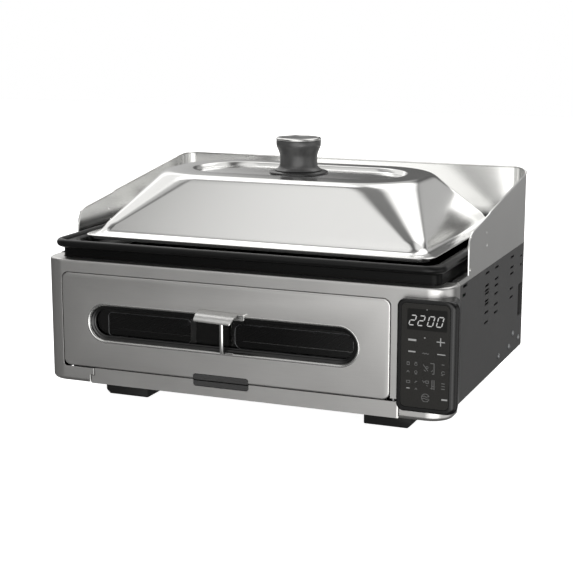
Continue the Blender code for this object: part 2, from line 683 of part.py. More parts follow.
# ------------------------------------------------------------------ crumb tray and oven rack
def tray_front():
    section = [(0.0, 1.4), (0.5, 0.4), (1.6, 0.4), (1.6, TRAY_TOP), (0.3, TRAY_TOP),
               (0.0, TRAY_TOP - 0.4)]
    part = prism("tray_front", section, "X", TRAY_LEFT, TRAY_RIGHT, "stainless", "tray")
    boolean(part, box_mesh((*RECESS_CUT_X, -3.0, 5.0, 11.4, 20.0)))
    boolean(part, box_mesh((TRAY_LEFT - 3.0, TRAY_LEFT + STEP_X, -3.0, 5.0, STEP_Z, 22.0)))


def tray_pull():
    section = [(0.1, 11.8), (1.9, 11.8), (1.9, 8.4), (3.4, 8.4), (3.4, 15.6), (1.9, 16.4),
               (0.9, 17.6), (0.1, 17.6)]
    prism("tray_pull", section, "X", *RECESS_X, "matte_black", "tray")


def crumb_tray():
    # (inset, z) from the underside over the edge to the floor
    section = ((2, 2.4), (0, 4.4), (0, 13.0), (SHEET, 13.0), (SHEET, 4.8), (3, 3.6))
    rows = [(*inset(TRAY_PAN, by), TRAY_PAN_R - by, z) for by, z in section]
    ring_loft("crumb_tray", rows, "galvanised", "tray", steps=2)


def oven_rack():
    """Flat grid of bars: even-numbered columns and rows between the breakpoints are solid."""
    left, right = LINER_LEFT + RACK_INSET, LINER_RIGHT - RACK_INSET
    half = RACK_BAR / 2
    xs = [left, left + RACK_BAR]
    for i in range(1, RACK_BARS):
        middle = left + (right - left) * i / RACK_BARS
        xs += [middle - half, middle + half]
    xs += [right - RACK_BAR, right]
    middle = (RACK_FRONT + RACK_BACK) / 2
    ys = [RACK_FRONT, RACK_FRONT + RACK_BAR, middle - half, middle + half,
          RACK_BACK - RACK_BAR, RACK_BACK]
    heights = (RACK_Z, RACK_Z + RACK_BAR)
    columns, rows = len(xs) - 1, len(ys) - 1
    mesh = bmesh.new()
    verts = {}

    def corner(i, j, k):
        if (i, j, k) not in verts:
            verts[i, j, k] = mesh.verts.new((xs[i], ys[j], heights[k]))
        return verts[i, j, k]

    def filled(i, j):
        return 0 <= i < columns and 0 <= j < rows and (i % 2 == 0 or j % 2 == 0)

    for i in range(columns):
        for j in range(rows):
            if not filled(i, j):
                continue
            around = ((i, j), (i + 1, j), (i + 1, j + 1), (i, j + 1))
            mesh.faces.new([corner(*at, 1) for at in around])
            mesh.faces.new([corner(*at, 0) for at in (around[0], *around[:0:-1])])
            # walls only where the neighbouring cell is open
            neighbours = ((i, j - 1), (i + 1, j), (i, j + 1), (i - 1, j))
            for cell, start, end in zip(neighbours, around, around[1:] + around[:1]):
                if not filled(*cell):
                    mesh.faces.new((corner(*start, 0), corner(*end, 0),
                                    corner(*end, 1), corner(*start, 1)))
    solid("oven_rack", mesh, "chrome", "rack")


# ------------------------------------------------------------------ griddle pan and lid
def griddle_pan():
    reach = RIM_R + GAP
    edge = (RIM_X - reach, RIM_FRONT + reach, RIM_BACK - reach, 17)
    # (half width, front, back, radius, z), up the outside and down the inside
    section = [
        (219, 30, 335, 16, 150.0), (223.5, 26, 339.5, 19, 152.5), (224.5, 25, 340.5, 20, 163.0),
        (*edge, 164.2), (*edge, 166.2),
        (223.0, 26.5, 339.0, 19, 165.4), (221.0, 28.5, 337.0, 17, 157.0),
        (216.5, 33, 332.5, 13, 154.4)]
    rows = [(-row[0], *row) for row in section]
    ring_loft("griddle_pan", rows, "pan_black", "pan", steps=5)
    path = place(rounded_rect(-RIM_X, RIM_X, RIM_FRONT, RIM_BACK, 18.0, 5), "Z", RIM_Z)
    tube("pan_rim", path, RIM_R, "pan_black", "pan", sides=10, closed=True)


def knob_hole(bottom, top):
    return lathe_mesh([(KNOB_HOLE_R, bottom), (KNOB_HOLE_R, top)], LID_CX, LID_CY, 10)


def lid_shell():
    # (half x, half y, radius, z)
    section = [
        # outside, from the skirt's foot up to the plateau
        (210.5, 149.0, 12, 166.9), (210.5, 149.0, 12, LID_Z),
        (216.4, 154.9, 17, LID_Z), (LID_HALF_X, LID_HALF_Y, 18, LID_Z + 0.7),
        (216.4, 154.9, 17, LID_Z + 1.5), (204.5, 143.0, 14, LID_Z + 1.8),
        (202.0, 140.0, 14, LID_Z + 3.4), (164.5, 88.0, 46, PLATEAU_Z - 1.6),
        (160.5, 84.5, 52, PLATEAU_Z - 0.2), (154.0, 78.0, 56, PLATEAU_Z),
        (136.0, 58.0, 57.5, PLATEAU_Z), (134.4, 56.4, 56, FLOOR_Z), (40.0, 18.0, 17.6, FLOOR_Z),
        # inside, from the plateau back down
        (40.0, 18.0, 17.6, FLOOR_UNDER_Z), (135.5, 57.5, 57, FLOOR_UNDER_Z),
        (160.0, 84.0, 52, PLATEAU_Z - 1.5), (201.0, 139.0, 13, LID_Z + 1.6),
        (209.0, 147.5, 11, LID_Z + 0.2), (209.2, 147.7, 11, 166.9)]
    rows = [(LID_CX - half_x, LID_CX + half_x, LID_CY - half_y, LID_CY + half_y, radius, z)
            for half_x, half_y, radius, z in section]
    part = ring_loft("lid_shell", rows, "lid_steel", "lid", closed=True, steps=5)
    # the plateau's middle is one floor with a hole for the knob's screw
    floor = (LID_CX - 41.0, LID_CX + 41.0, LID_CY - 19.0, LID_CY + 19.0,
             PLATEAU_Z - 2.9, PLATEAU_Z - 1.9)
    boolean(part, box_mesh(floor), "UNION")
    boolean(part, knob_hole(PLATEAU_Z - 8, PLATEAU_Z + 5))


def turned_knob_part(name, base, profile, finish, sides=24, closed=False):
    """Piece turned about the lid's centre; profile is (radius, height above base)."""
    points = [(radius, base + height) for radius, height in profile]
    return lathe(name, points, LID_CX, LID_CY, finish, "lid", sides, closed)


def knob():
    base = KNOB_FLANGE_Z
    part = turned_knob_part("knob_flange", base, [(36.0, 0), (36.2, 1.2), (34.8, 2.2), (30.0, 2.6)],
                            "matte_black")
    boolean(part, knob_hole(base - 4, base + 6))
    base = KNOB_Z
    part = turned_knob_part(
        "lid_knob", base,
        [(28.0, 0), (26.0, 1.6), (23.6, 4.2), (22.9, 7.0), (22.9, 18.0), (24.2, 22.5),
         (26.6, 28.5), (27.2, 31.0), (27.2, KNOB_H)], "gunmetal")
    boolean(part, knob_hole(base - 4, base + 19))
    base = KNOB_Z + KNOB_H + GAP
    turned_knob_part(
        "knob_ring", base,
        [(27.3, 0), (27.5, 1.2), (26.6, 2.9), (24.9, 3.3), (24.3, 2.4), (24.3, 0)],
        "chrome", closed=True)
    turned_knob_part("knob_cap", base,
                     [(23.9, 0), (23.9, 2.2), (22.0, 2.3), (14.0, 1.5), (0.0, 1.1)], "gunmetal")
    base = FLOOR_UNDER_Z - GAP
    turned_knob_part(
        "knob_screw", base,
        [(6.0, -3.0), (6.4, -1.0), (6.4, 0), (3.0, 0), (3.0, KNOB_Z + 16.0 - base)],
        "galvanised", sides=10)


# ------------------------------------------------------------------ build
front_bezel()
splash_guard()
side_panel("left_side_panel", -1)
side_panel("right_side_panel", 1)
rear_panel()
base_plate()
feet()
side_screws()
lower_rail()

hinge_bracket("left_hinge_bracket", DOOR_LEFT - 4.6, DOOR_LEFT - 2.8)
hinge_bracket("right_hinge_bracket", DOOR_RIGHT + 2.8, DOOR_RIGHT + 4.6)
oven_liner()
rack_rail("left_rack_rail", LINER_LEFT, 1)
rack_rail("right_rack_rail", LINER_RIGHT, -1)
heating()
deck_frame()

control_housing()
pod_contents()
power_board()
wiring_harness()
power_inlet()

door_outer_panel()
window()
door_inner_panel()
door_fittings()

tray_front()
tray_pull()
crumb_tray()
oven_rack()
griddle_pan()
lid_shell()
knob()
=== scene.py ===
"""Countertop griddle over an oven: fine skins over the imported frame, materials, light, camera.

Modelling lengths are millimetres: X to the right from the bezel's centre, Y back from its front
face, Z up from its lower edge.  world() places them in the frame, in metres, from the bezel."""

import json
from collections import namedtuple
from math import cos, pi, radians, sin, sqrt

import bmesh
import bpy
from mathutils import Matrix, Vector

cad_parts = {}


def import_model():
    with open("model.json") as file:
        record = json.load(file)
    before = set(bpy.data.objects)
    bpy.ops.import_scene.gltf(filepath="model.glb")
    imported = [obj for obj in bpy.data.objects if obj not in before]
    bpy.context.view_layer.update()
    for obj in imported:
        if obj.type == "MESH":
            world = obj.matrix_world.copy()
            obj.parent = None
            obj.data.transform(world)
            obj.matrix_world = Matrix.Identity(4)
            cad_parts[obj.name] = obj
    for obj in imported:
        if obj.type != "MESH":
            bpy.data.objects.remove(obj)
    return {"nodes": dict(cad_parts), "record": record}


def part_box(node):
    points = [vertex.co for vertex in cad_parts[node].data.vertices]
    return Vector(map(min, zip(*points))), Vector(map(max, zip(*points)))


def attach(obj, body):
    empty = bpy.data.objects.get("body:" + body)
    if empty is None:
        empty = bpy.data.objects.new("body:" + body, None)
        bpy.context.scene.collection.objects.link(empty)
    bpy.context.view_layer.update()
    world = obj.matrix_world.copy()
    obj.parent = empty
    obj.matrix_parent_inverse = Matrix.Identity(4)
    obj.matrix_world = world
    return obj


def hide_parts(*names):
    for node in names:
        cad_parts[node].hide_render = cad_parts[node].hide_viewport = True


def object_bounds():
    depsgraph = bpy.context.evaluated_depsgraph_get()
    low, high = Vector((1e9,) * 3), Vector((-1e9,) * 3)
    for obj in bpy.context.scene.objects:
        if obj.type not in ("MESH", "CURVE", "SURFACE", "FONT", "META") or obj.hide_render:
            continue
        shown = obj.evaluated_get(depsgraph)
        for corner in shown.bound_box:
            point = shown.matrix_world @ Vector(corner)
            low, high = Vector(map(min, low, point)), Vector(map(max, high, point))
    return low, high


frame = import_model()
cad_lo, cad_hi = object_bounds()

MM = 0.001
_low, _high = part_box("front_bezel")
ORIGIN_X, ORIGIN_Y, ORIGIN_Z = (_low.x + _high.x) / 2, _low.y, _low.z
Box = namedtuple("Box", "x0 x1 y0 y1 z0 z1")


def world(x, y, z):
    return Vector((ORIGIN_X + x * MM, ORIGIN_Y + y * MM, ORIGIN_Z + z * MM))


def extent(node):
    """A frame node's box in modelling millimetres."""
    low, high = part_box(node)
    return Box((low.x - ORIGIN_X) / MM, (high.x - ORIGIN_X) / MM,
               (low.y - ORIGIN_Y) / MM, (high.y - ORIGIN_Y) / MM,
               (low.z - ORIGIN_Z) / MM, (high.z - ORIGIN_Z) / MM)


# ================================================================== driving sizes
BEZEL = extent("front_bezel")
DOOR = extent("door_outer_panel")
TRAY = extent("tray_front")
POD = extent("control_housing")
GUARD = extent("splash_guard")
RECESS = extent("door_recess_liner")
TRIM = extent("window_trim")
WINDOW_GROW = 0.35
WINDOW_X0, WINDOW_X1 = TRIM.x0 - WINDOW_GROW, TRIM.x1 + WINDOW_GROW
WINDOW_Z0, WINDOW_Z1 = TRIM.z0 - WINDOW_GROW, TRIM.z1 + WINDOW_GROW
SIDE_X = extent("right_side_panel").x1
BACK = GUARD.y1
TOP = BEZEL.z1
SHEET = 1.2            # sheet thickness
BEZEL_CORNER = 26.0    # plan radius at the front corners
BACK_CORNER = 22.0     # plan radius at the back corners
WING_FRONT = 80.6      # Y where the guard's wings start
WING_ROUND = 18.0      # rounding at the top of each wing's front edge
TRAY_STEP = 4.9        # how far the tray front steps in at its upper left
PAD_GAP = 0.4          # clearance round the two grip pads
PANEL_Y = POD.y0 + 0.05        # front of the touch panel
MARK_Y = PANEL_Y - 0.02        # back of the display lens; marks are set off from it


# ================================================================== node helpers
def new_material(name):
    material = bpy.data.materials.new(name)
    material.use_nodes = True
    tree = material.node_tree
    return material, tree, tree.nodes["Principled BSDF"]


def coords(tree, scale=(1, 1, 1)):
    source = tree.nodes.new("ShaderNodeTexCoord")
    mapping = tree.nodes.new("ShaderNodeMapping")
    mapping.inputs["Scale"].default_value = scale
    tree.links.new(source.outputs["Object"], mapping.inputs["Vector"])
    return mapping.outputs["Vector"]


def noise(tree, scale, detail=2.0, rough=0.5, stretch=(1, 1, 1)):
    vector = coords(tree, stretch)
    node = tree.nodes.new("ShaderNodeTexNoise")
    node.inputs["Scale"].default_value = scale
    node.inputs["Detail"].default_value = detail
    node.inputs["Roughness"].default_value = rough
    tree.links.new(vector, node.inputs["Vector"])
    return node.outputs["Fac"]


def span(tree, factor, low, high):
    """Maps 0..1 to low..high."""
    node = tree.nodes.new("ShaderNodeMapRange")
    node.inputs["To Min"].default_value = low
    node.inputs["To Max"].default_value = high
    tree.links.new(factor, node.inputs["Value"])
    return node.outputs["Result"]


def calc(tree, operation, first, second):
    node = tree.nodes.new("ShaderNodeMath")
    node.operation = operation
    for i, value in enumerate((first, second)):
        if hasattr(value, "is_linked"):
            tree.links.new(value, node.inputs[i])
        else:
            node.inputs[i].default_value = value
    return node.outputs[0]


def tint(tree, color, factor):
    """color scaled by factor."""
    node = tree.nodes.new("ShaderNodeVectorMath")
    node.operation = "SCALE"
    node.inputs[0].default_value = color
    tree.links.new(factor, node.inputs["Scale"])
    return node.outputs[0]


def bump(tree, shader, height, strength, relief):
    """relief is the bump distance in millimetres."""
    node = tree.nodes.new("ShaderNodeBump")
    node.inputs["Strength"].default_value = strength
    node.inputs["Distance"].default_value = relief * MM
    tree.links.new(height, node.inputs["Height"])
    tree.links.new(node.outputs["Normal"], shader.inputs["Normal"])


def grey(value):
    return (value, value, value)


# ================================================================== materials
def steel(name, color, rough, along=(1.0, 60.0, 60.0), grain=0.05, blotch=0.04, spread=0.05,
          depth=0.10):
    """Satin sheet: scratches drawn out along one axis, slow clouds, roughness follows both.

    along: relative noise frequency per axis; grain: scratch contrast; blotch: cloud contrast;
    spread: roughness swing; depth: bump strength."""
    material, tree, shader = new_material(name)
    lines = noise(tree, 1.0, detail=3.0, rough=0.6, stretch=tuple(40.0 * a for a in along))
    cloud = noise(tree, 16.0, detail=3.0, rough=0.55)
    speck = noise(tree, 1400.0, rough=0.6)
    tone = calc(tree, "ADD", span(tree, lines, -grain, grain),
                span(tree, cloud, 1.0 - blotch, 1.0 + blotch))
    tone = calc(tree, "ADD", tone, span(tree, speck, -grain * 0.6, grain * 0.6))
    tree.links.new(tint(tree, color, tone), shader.inputs["Base Color"])
    gloss = calc(tree, "ADD", span(tree, lines, rough - spread, rough + spread),
                 span(tree, cloud, -0.02, 0.02))
    tree.links.new(gloss, shader.inputs["Roughness"])
    shader.inputs["Metallic"].default_value = 1.0
    height = calc(tree, "ADD", lines, calc(tree, "MULTIPLY", speck, 0.5))
    bump(tree, shader, height, strength=depth, relief=0.03)
    return material


def paint(name, color, rough, texture, depth, relief, mottling=0.10, metallic=0.0, spec=0.5):
    """Coated or moulded surface: fine texture, roughness in patches, light shifts of tone.

    texture: noise scale; depth: bump strength; relief: bump distance; mottling: contrast."""
    spread = 0.08    # roughness swing
    material, tree, shader = new_material(name)
    fine = noise(tree, texture, detail=3.0, rough=0.6)
    cloud = noise(tree, 28.0, detail=4.0, rough=0.6)
    tone = calc(tree, "ADD", span(tree, cloud, 1.0 - mottling, 1.0 + mottling),
                span(tree, fine, -mottling * 0.7, mottling * 0.7))
    tree.links.new(tint(tree, color, tone), shader.inputs["Base Color"])
    gloss = calc(tree, "ADD", span(tree, fine, rough - spread, rough + spread),
                 span(tree, cloud, -0.03, 0.03))
    tree.links.new(gloss, shader.inputs["Roughness"])
    shader.inputs["Metallic"].default_value = metallic
    shader.inputs["Specular IOR Level"].default_value = spec
    shader.inputs["Coat Roughness"].default_value = 0.08
    bump(tree, shader, fine, strength=depth, relief=relief)
    return material


def glow(name, value, wobble=0.08):
    """Lit mark: emission that varies a little over its area, on a dark base."""
    material, tree, shader = new_material(name)
    fine = noise(tree, 700.0)
    light = tint(tree, (value, value, value * 0.985), span(tree, fine, 1.0 - wobble, 1.0 + wobble))
    tree.links.new(light, shader.inputs["Emission Color"])
    shader.inputs["Emission Strength"].default_value = 1.0
    shader.inputs["Base Color"].default_value = (0.02, 0.02, 0.02, 1)
    tree.links.new(span(tree, fine, 0.4, 0.6), shader.inputs["Roughness"])
    bump(tree, shader, fine, strength=0.05, relief=0.02)
    return material


def window(name, reflection, through):
    """Tinted pane: see-through with a faint smear in its gloss."""
    material, tree, shader = new_material(name)
    tree.nodes.remove(shader)
    clear = tree.nodes.new("ShaderNodeBsdfTransparent")
    glossy = tree.nodes.new("ShaderNodeBsdfGlossy")
    mix = tree.nodes.new("ShaderNodeMixShader")
    fresnel = tree.nodes.new("ShaderNodeFresnel")
    fresnel.inputs["IOR"].default_value = 1.5
    cloud = noise(tree, 22.0, detail=3.0)
    tree.links.new(tint(tree, grey(through), span(tree, cloud, 0.94, 1.06)), clear.inputs["Color"])
    glossy.inputs["Color"].default_value = (*grey(reflection), 1)
    tree.links.new(span(tree, cloud, 0.03, 0.07), glossy.inputs["Roughness"])
    tree.links.new(fresnel.outputs[0], mix.inputs["Fac"])
    tree.links.new(clear.outputs[0], mix.inputs[1])
    tree.links.new(glossy.outputs[0], mix.inputs[2])
    tree.links.new(mix.outputs[0], tree.nodes["Material Output"].inputs["Surface"])
    bump(tree, glossy, cloud, strength=0.04, relief=0.1)
    return material


FINISH = {
    "front": steel("front_steel", (0.62, 0.615, 0.605), rough=0.36),
    # guard steel: its colour is set a tenth above the lid steel's to brighten the guard where the
    # lid shades it, painted light on top of the steel's own tone
    "guard": steel("guard_steel_lightened", (0.88, 0.88, 0.87), rough=0.24, along=(1.0, 30.0, 60.0),
                   grain=0.03),
    "lid": steel("lid_steel", (0.80, 0.80, 0.79), rough=0.14, along=(2.0, 2.0, 2.0), grain=0.02,
                 blotch=0.02, spread=0.02, depth=0.04),
    "tab": steel("handle_steel", (0.62, 0.62, 0.61), rough=0.26, grain=0.03),
    "trim": steel("pressed_trim", (0.62, 0.62, 0.61), rough=0.26, grain=0.02, spread=0.03,
                  depth=0.03),
    "reveal": steel("dark_reveal", grey(0.060), rough=0.30, grain=0.02, spread=0.03, depth=0.03),
    "chrome": steel("polished_trim", (0.74, 0.74, 0.73), rough=0.16, grain=0.02, spread=0.03,
                    depth=0.03),
    "zinc": steel("zinc_sheet", (0.42, 0.43, 0.44), rough=0.42, along=(8.0, 8.0, 8.0),
                  grain=0.08, blotch=0.12),
    "side": paint("powder_coat", grey(0.046), rough=0.60, texture=1100.0, depth=0.30, relief=0.08),
    "enamel": paint("deck_enamel", grey(0.003), rough=0.34, texture=500.0, depth=0.15,
                    relief=0.04, spec=0.12),
    "cavity": paint("cavity_enamel", (0.030, 0.029, 0.027), rough=0.42, texture=400.0,
                    depth=0.20, relief=0.08),
    "pan": paint("nonstick", grey(0.004), rough=0.30, texture=1600.0, depth=0.30, relief=0.05,
                 spec=0.22),
    "pod": paint("pod_plastic", grey(0.004), rough=0.22, texture=900.0, depth=0.08, relief=0.03,
                 spec=0.35),
    "glass": paint("touch_glass", (0.018, 0.0173, 0.016), rough=0.30, texture=1200.0,
                   depth=0.05, relief=0.02, spec=0.22),
    "lens": paint("display_lens", (0.006, 0.006, 0.0055), rough=0.30, texture=1200.0,
                  depth=0.03, relief=0.02, spec=0.18),
    "matte": paint("matte_plastic", grey(0.030), rough=0.62, texture=700.0, depth=0.35,
                   relief=0.10),
    "grip": paint("grip_pad", grey(0.030), rough=0.55, texture=380.0, depth=0.60, relief=0.30),
    "knob": paint("knob_gunmetal", grey(0.076), rough=0.34, texture=1300.0, depth=0.10,
                  relief=0.04, metallic=0.35),
    "collar": paint("knob_collar", grey(0.020), rough=0.24, texture=900.0, depth=0.06,
                    relief=0.03),
    "foot": paint("foot_rubber", grey(0.010), rough=0.60, texture=600.0, depth=0.40, relief=0.12,
                  spec=0.35),
    "rubber": paint("gasket_rubber", grey(0.014), rough=0.70, texture=700.0, depth=0.40,
                    relief=0.10, spec=0.3),
    "element": paint("element_sheath", (0.10, 0.095, 0.09), rough=0.48, texture=900.0,
                     depth=0.30, relief=0.08, metallic=0.8, mottling=0.25),
    "board": paint("circuit_board", (0.02, 0.10, 0.045), rough=0.45, texture=260.0, depth=0.30,
                   relief=0.10, mottling=0.3),
    "bar": paint("grey_upright_bar", (0.085, 0.085, 0.083), rough=0.42, texture=700.0, depth=0.15,
                 relief=0.05, metallic=0.4),
    "lit": glow("mark_bright", value=0.50),
    "lit2": glow("mark_soft", value=0.30),
    "dim": glow("mark_dim", value=0.085, wobble=0.25),
    "pane": window("window_pane", reflection=0.9, through=0.52),
}


# ================================================================== outlines
def arc(mid_x, mid_y, radius, start, end, steps):
    angles = [radians(start + (end - start) * i / steps) for i in range(steps + 1)]
    return [(mid_x + radius * cos(a), mid_y + radius * sin(a)) for a in angles]


def turn(mid_x, mid_y, radius, start, end, steps):
    """An arc as (point, inward normal) pairs."""
    return list(zip(arc(mid_x, mid_y, radius, start, end, steps), arc(0, 0, -1, start, end, steps)))


def ellipse(mid_x, mid_y, radius_x, radius_y, count):
    return [(mid_x + radius_x * cos(2 * pi * i / count), mid_y + radius_y * sin(2 * pi * i / count))
            for i in range(count)]


def circle(mid_x, mid_y, radius, count):
    return ellipse(mid_x, mid_y, radius, radius, count)


def rect(x0, x1, y0, y1):
    return [(x0, y0), (x1, y0), (x1, y1), (x0, y1)]


def rounded(x0, x1, y0, y1, radius, steps):
    """Rectangle with rounded corners, steps segments to a corner."""
    radius = max(0.02, min(radius, 0.4995 * min(x1 - x0, y1 - y0)))
    return (arc(x1 - radius, y0 + radius, radius, -90, 0, steps)
            + arc(x1 - radius, y1 - radius, radius, 0, 90, steps)
            + arc(x0 + radius, y1 - radius, radius, 90, 180, steps)
            + arc(x0 + radius, y0 + radius, radius, 180, 270, steps))


def at_x(outline, x):
    return [(x, y, z) for y, z in outline]


def at_y(outline, y):
    return [(x, y, z) for x, z in outline]


def at_z(outline, z):
    return [(x, y, z) for x, y in outline]


def section_at(place, profile):
    """A (distance inward, height) profile stood at a (point, inward normal) of a plan path."""
    (x, y), (normal_x, normal_y) = place
    return [(x + inward * normal_x, y + inward * normal_y, z) for inward, z in profile]


def across(side, near, far):
    """The X range between two distances from the middle, on the side of that sign."""
    return sorted((side * near, side * far))


# ================================================================== solids
def loft(loops, closed=False, shape=None):
    """Skins equal-length loops in turn; closed joins the last to the first, else ends are capped."""
    shape = shape or bmesh.new()
    rings = [[shape.verts.new(point) for point in loop] for loop in loops]
    count = len(rings[0])
    pairs = list(zip(rings[:-1], rings[1:]))
    if closed:
        pairs.append((rings[-1], rings[0]))
    for ring, following in pairs:
        for i in range(count):
            j = (i + 1) % count
            shape.faces.new((ring[i], ring[j], following[j], following[i]))
    if not closed:
        shape.faces.new(rings[0][::-1])
        shape.faces.new(rings[-1])
    return shape


def prism(outline, axis, start, end, shape=None):
    put = {"X": at_x, "Y": at_y, "Z": at_z}[axis]
    return loft([put(outline, start), put(outline, end)], shape=shape)


def prisms(outlines, axis, start, end, shape=None):
    """Several prisms in one shape."""
    shape = shape or bmesh.new()
    for outline in outlines:
        prism(outline, axis, start, end, shape)
    return shape


def block(x0, x1, y0, y1, z0, z1):
    return prism(rect(x0, x1, y0, y1), "Z", z0, z1)


def lathe(profile, mid_x, mid_y, count=96, closed=False):
    """Turns a (radius, height) profile about a vertical axis; radius 0 becomes a single point."""
    shape = bmesh.new()
    rings = []
    for radius, z in profile:
        points = [(mid_x, mid_y, z)]
        if radius >= 1e-6:
            points = at_z(circle(mid_x, mid_y, radius, count), z)
        rings.append([shape.verts.new(point) for point in points])
    pairs = list(zip(rings[:-1], rings[1:]))
    if closed:
        pairs.append((rings[-1], rings[0]))
    for ring, following in pairs:
        for i in range(count):
            j = (i + 1) % count
            if len(ring) == 1:
                shape.faces.new((ring[0], following[j], following[i]))
            elif len(following) == 1:
                shape.faces.new((ring[i], ring[j], following[0]))
            else:
                shape.faces.new((ring[i], ring[j], following[j], following[i]))
    if not closed:
        if len(rings[0]) > 1:
            shape.faces.new(rings[0][::-1])
        if len(rings[-1]) > 1:
            shape.faces.new(rings[-1])
    return shape


def tube(path, radius, count=16, closed=False, shape=None):
    points = [Vector(point) for point in path]
    total = len(points)
    tangents = []
    for i in range(total):
        before = points[(i - 1) % total] if (closed or i > 0) else points[i]
        after = points[(i + 1) % total] if (closed or i < total - 1) else points[i]
        tangents.append((after - before).normalized())
    up = Vector((0, 0, 1)) if abs(tangents[0].z) < 0.9 else Vector((1, 0, 0))
    loops = []
    for point, tangent in zip(points, [tangents[0]] + tangents):
        break
    first = (up - tangents[0] * up.dot(tangents[0])).normalized()
    for point, tangent in zip(points, tangents):
        first = (first - tangent * first.dot(tangent)).normalized()
        second = tangent.cross(first)
        loops.append([tuple(point + first * (radius * cos(2 * pi * k / count))
                            + second * (radius * sin(2 * pi * k / count))) for k in range(count)])
    return loft(loops, closed, shape)


def bent(corners):
    """A rod's path with each corner rounded by a quadratic curve."""
    reach, steps = 16, 8
    points = [Vector(corner) for corner in corners]
    path = [tuple(points[0])]
    for before, corner, after in zip(points[:-2], points[1:-1], points[2:]):
        start = corner + (before - corner).normalized() * reach
        end = corner + (after - corner).normalized() * reach
        for i in range(steps + 1):
            t = i / steps
            path.append(tuple((1 - t) ** 2 * start + 2 * t * (1 - t) * corner + t ** 2 * end))
    path.append(tuple(points[-1]))
    return path


def mesh_from(name, shape):
    for vert in shape.verts:
        vert.co = world(*vert.co)
    bmesh.ops.recalc_face_normals(shape, faces=shape.faces)
    if shape.calc_volume(signed=True) < 0:
        bmesh.ops.reverse_faces(shape, faces=shape.faces)
    mesh = bpy.data.meshes.new(name)
    shape.to_mesh(mesh)
    shape.free()
    return mesh


def linked(name, data):
    obj = bpy.data.objects.new(name, data)
    bpy.context.scene.collection.objects.link(obj)
    return obj


def carve(mesh, operation, cutters):
    """Applies exact Booleans to a mesh and returns the result as a plain mesh."""
    obj = linked("carve", mesh)
    helpers = []
    for i, cutter in enumerate(cutters):
        helper = linked(f"carve_{i}", mesh_from(f"carve_{i}", cutter))
        helpers.append(helper)
        boolean = obj.modifiers.new(f"b{i}", "BOOLEAN")
        boolean.operation = operation
        boolean.object = helper
        boolean.solver = "EXACT"
    graph = bpy.context.evaluated_depsgraph_get()
    result = bpy.data.meshes.new_from_object(obj.evaluated_get(graph))
    for spent in [obj, *helpers]:
        bpy.data.objects.remove(spent, do_unlink=True)
    return result


def piece(name, shape, finish, body, replaces=None, cuts=(), within=None, bevel=None,
          segments=2, angle=35.0):
    """Makes an object; cuts are taken out of the shape, within is the shape it is trimmed to."""
    mesh = mesh_from(name, shape)
    if cuts or within:
        mesh = carve(mesh, "DIFFERENCE", cuts) if cuts else carve(mesh, "INTERSECT", [within])
        mesh.name = name
    mesh.materials.clear()
    mesh.materials.append(FINISH[finish])
    mesh.shade_smooth()
    mesh.set_sharp_from_angle(angle=radians(angle))
    obj = linked(name, mesh)
    if bevel:
        edge = obj.modifiers.new("edge", "BEVEL")
        edge.width = bevel * MM
        edge.segments = segments
        edge.limit_method = "ANGLE"
        edge.angle_limit = radians(40)
        obj.modifiers.new("normals", "WEIGHTED_NORMAL").keep_sharp = True
    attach(obj, body)
    if replaces:
        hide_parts(replaces)


# ================================================================== cabinet
def bezel():
    corner, top, flange, gap = BEZEL_CORNER, TOP + 2.4, 16.0, 0.55
    path = ([((-BEZEL.x1, 38.0), (1.0, 0.0))]
            + turn(corner - BEZEL.x1, corner, corner, 180, 270, 24)
            + turn(BEZEL.x1 - corner, corner, corner, 270, 360, 24)
            + [((BEZEL.x1, 38.0), (-1.0, 0.0))])
    # outer wall, rounded shoulder and top flange, then the same again on the inside
    profile = arc(5, 5, 5, 270, 180, 8) + arc(3, top - 3, 3, 180, 90, 10)
    profile += [(flange - 0.5, top), (flange, top - 0.4), (flange, top - SHEET)]
    profile += arc(3, top - 3, 3 - SHEET, 90, 180, 10) + arc(5, 5, 5 - SHEET, 180, 270, 8)
    profile += [(14, SHEET), (14, 0)]
    left, right = DOOR.x0 - gap, DOOR.x1 + gap
    step_x = TRAY.x0 + TRAY_STEP
    cuts = [prism(rounded(left, right, 40.0, DOOR.z1 + gap, 9.0, 12), "Y", -3.0, 9.0),
            prism(rounded(left, right, TRAY.z1 + 0.2, 90.0, 4.0, 6), "Y", -3.0, 9.0),
            block(step_x - 1.3, TRAY.x1 + 0.6, -3.0, 6.0, 10.0, 22.0),
            block(TRAY.x0 - 1.3, TRAY.x1 + 0.6, -3.0, 6.0, -2.0, 10.5),
            block(206.0, 218.0, -3.0, 6.0, 66.0, 84.0)]
    piece("bezel_skin", loft([section_at(place, profile) for place in path]), "front", "cabinet",
          "front_bezel", cuts, bevel=0.45, segments=3)
    # rolled edges of the stepped opening beside the tray front
    rolls = ((step_x - 1.9, 10.6, TRAY.z1 + 0.1), (TRAY.x0 - 1.9, 1.3, 10.3))
    for k, (x, low, high) in enumerate(rolls):
        path = [(x, 0.75, z) for z in (low, (low + high) / 2, high)]
        piece(f"opening_roll_{k + 1}", tube(path, 0.85), "tab", "cabinet")


def guard_top(y):
    """Height of the guard's top edge: a slope with a rounded front, a small step, a level back."""
    front_z, back_z = 182.6, 233.1
    height = front_z + (back_z - front_z) * y / BACK
    if y < WING_FRONT + WING_ROUND:
        t = (WING_FRONT + WING_ROUND - y) / WING_ROUND
        height -= WING_ROUND * (1 - sqrt(max(0.0, 1 - t * t)))
    height -= 1.3 * (1.0 - min(1.0, max(0.0, (y - 168.2) / 3.6)))
    if y > BACK - BACK_CORNER:
        height += (GUARD.z1 - back_z) * (y - (BACK - BACK_CORNER)) / BACK_CORNER
    return height


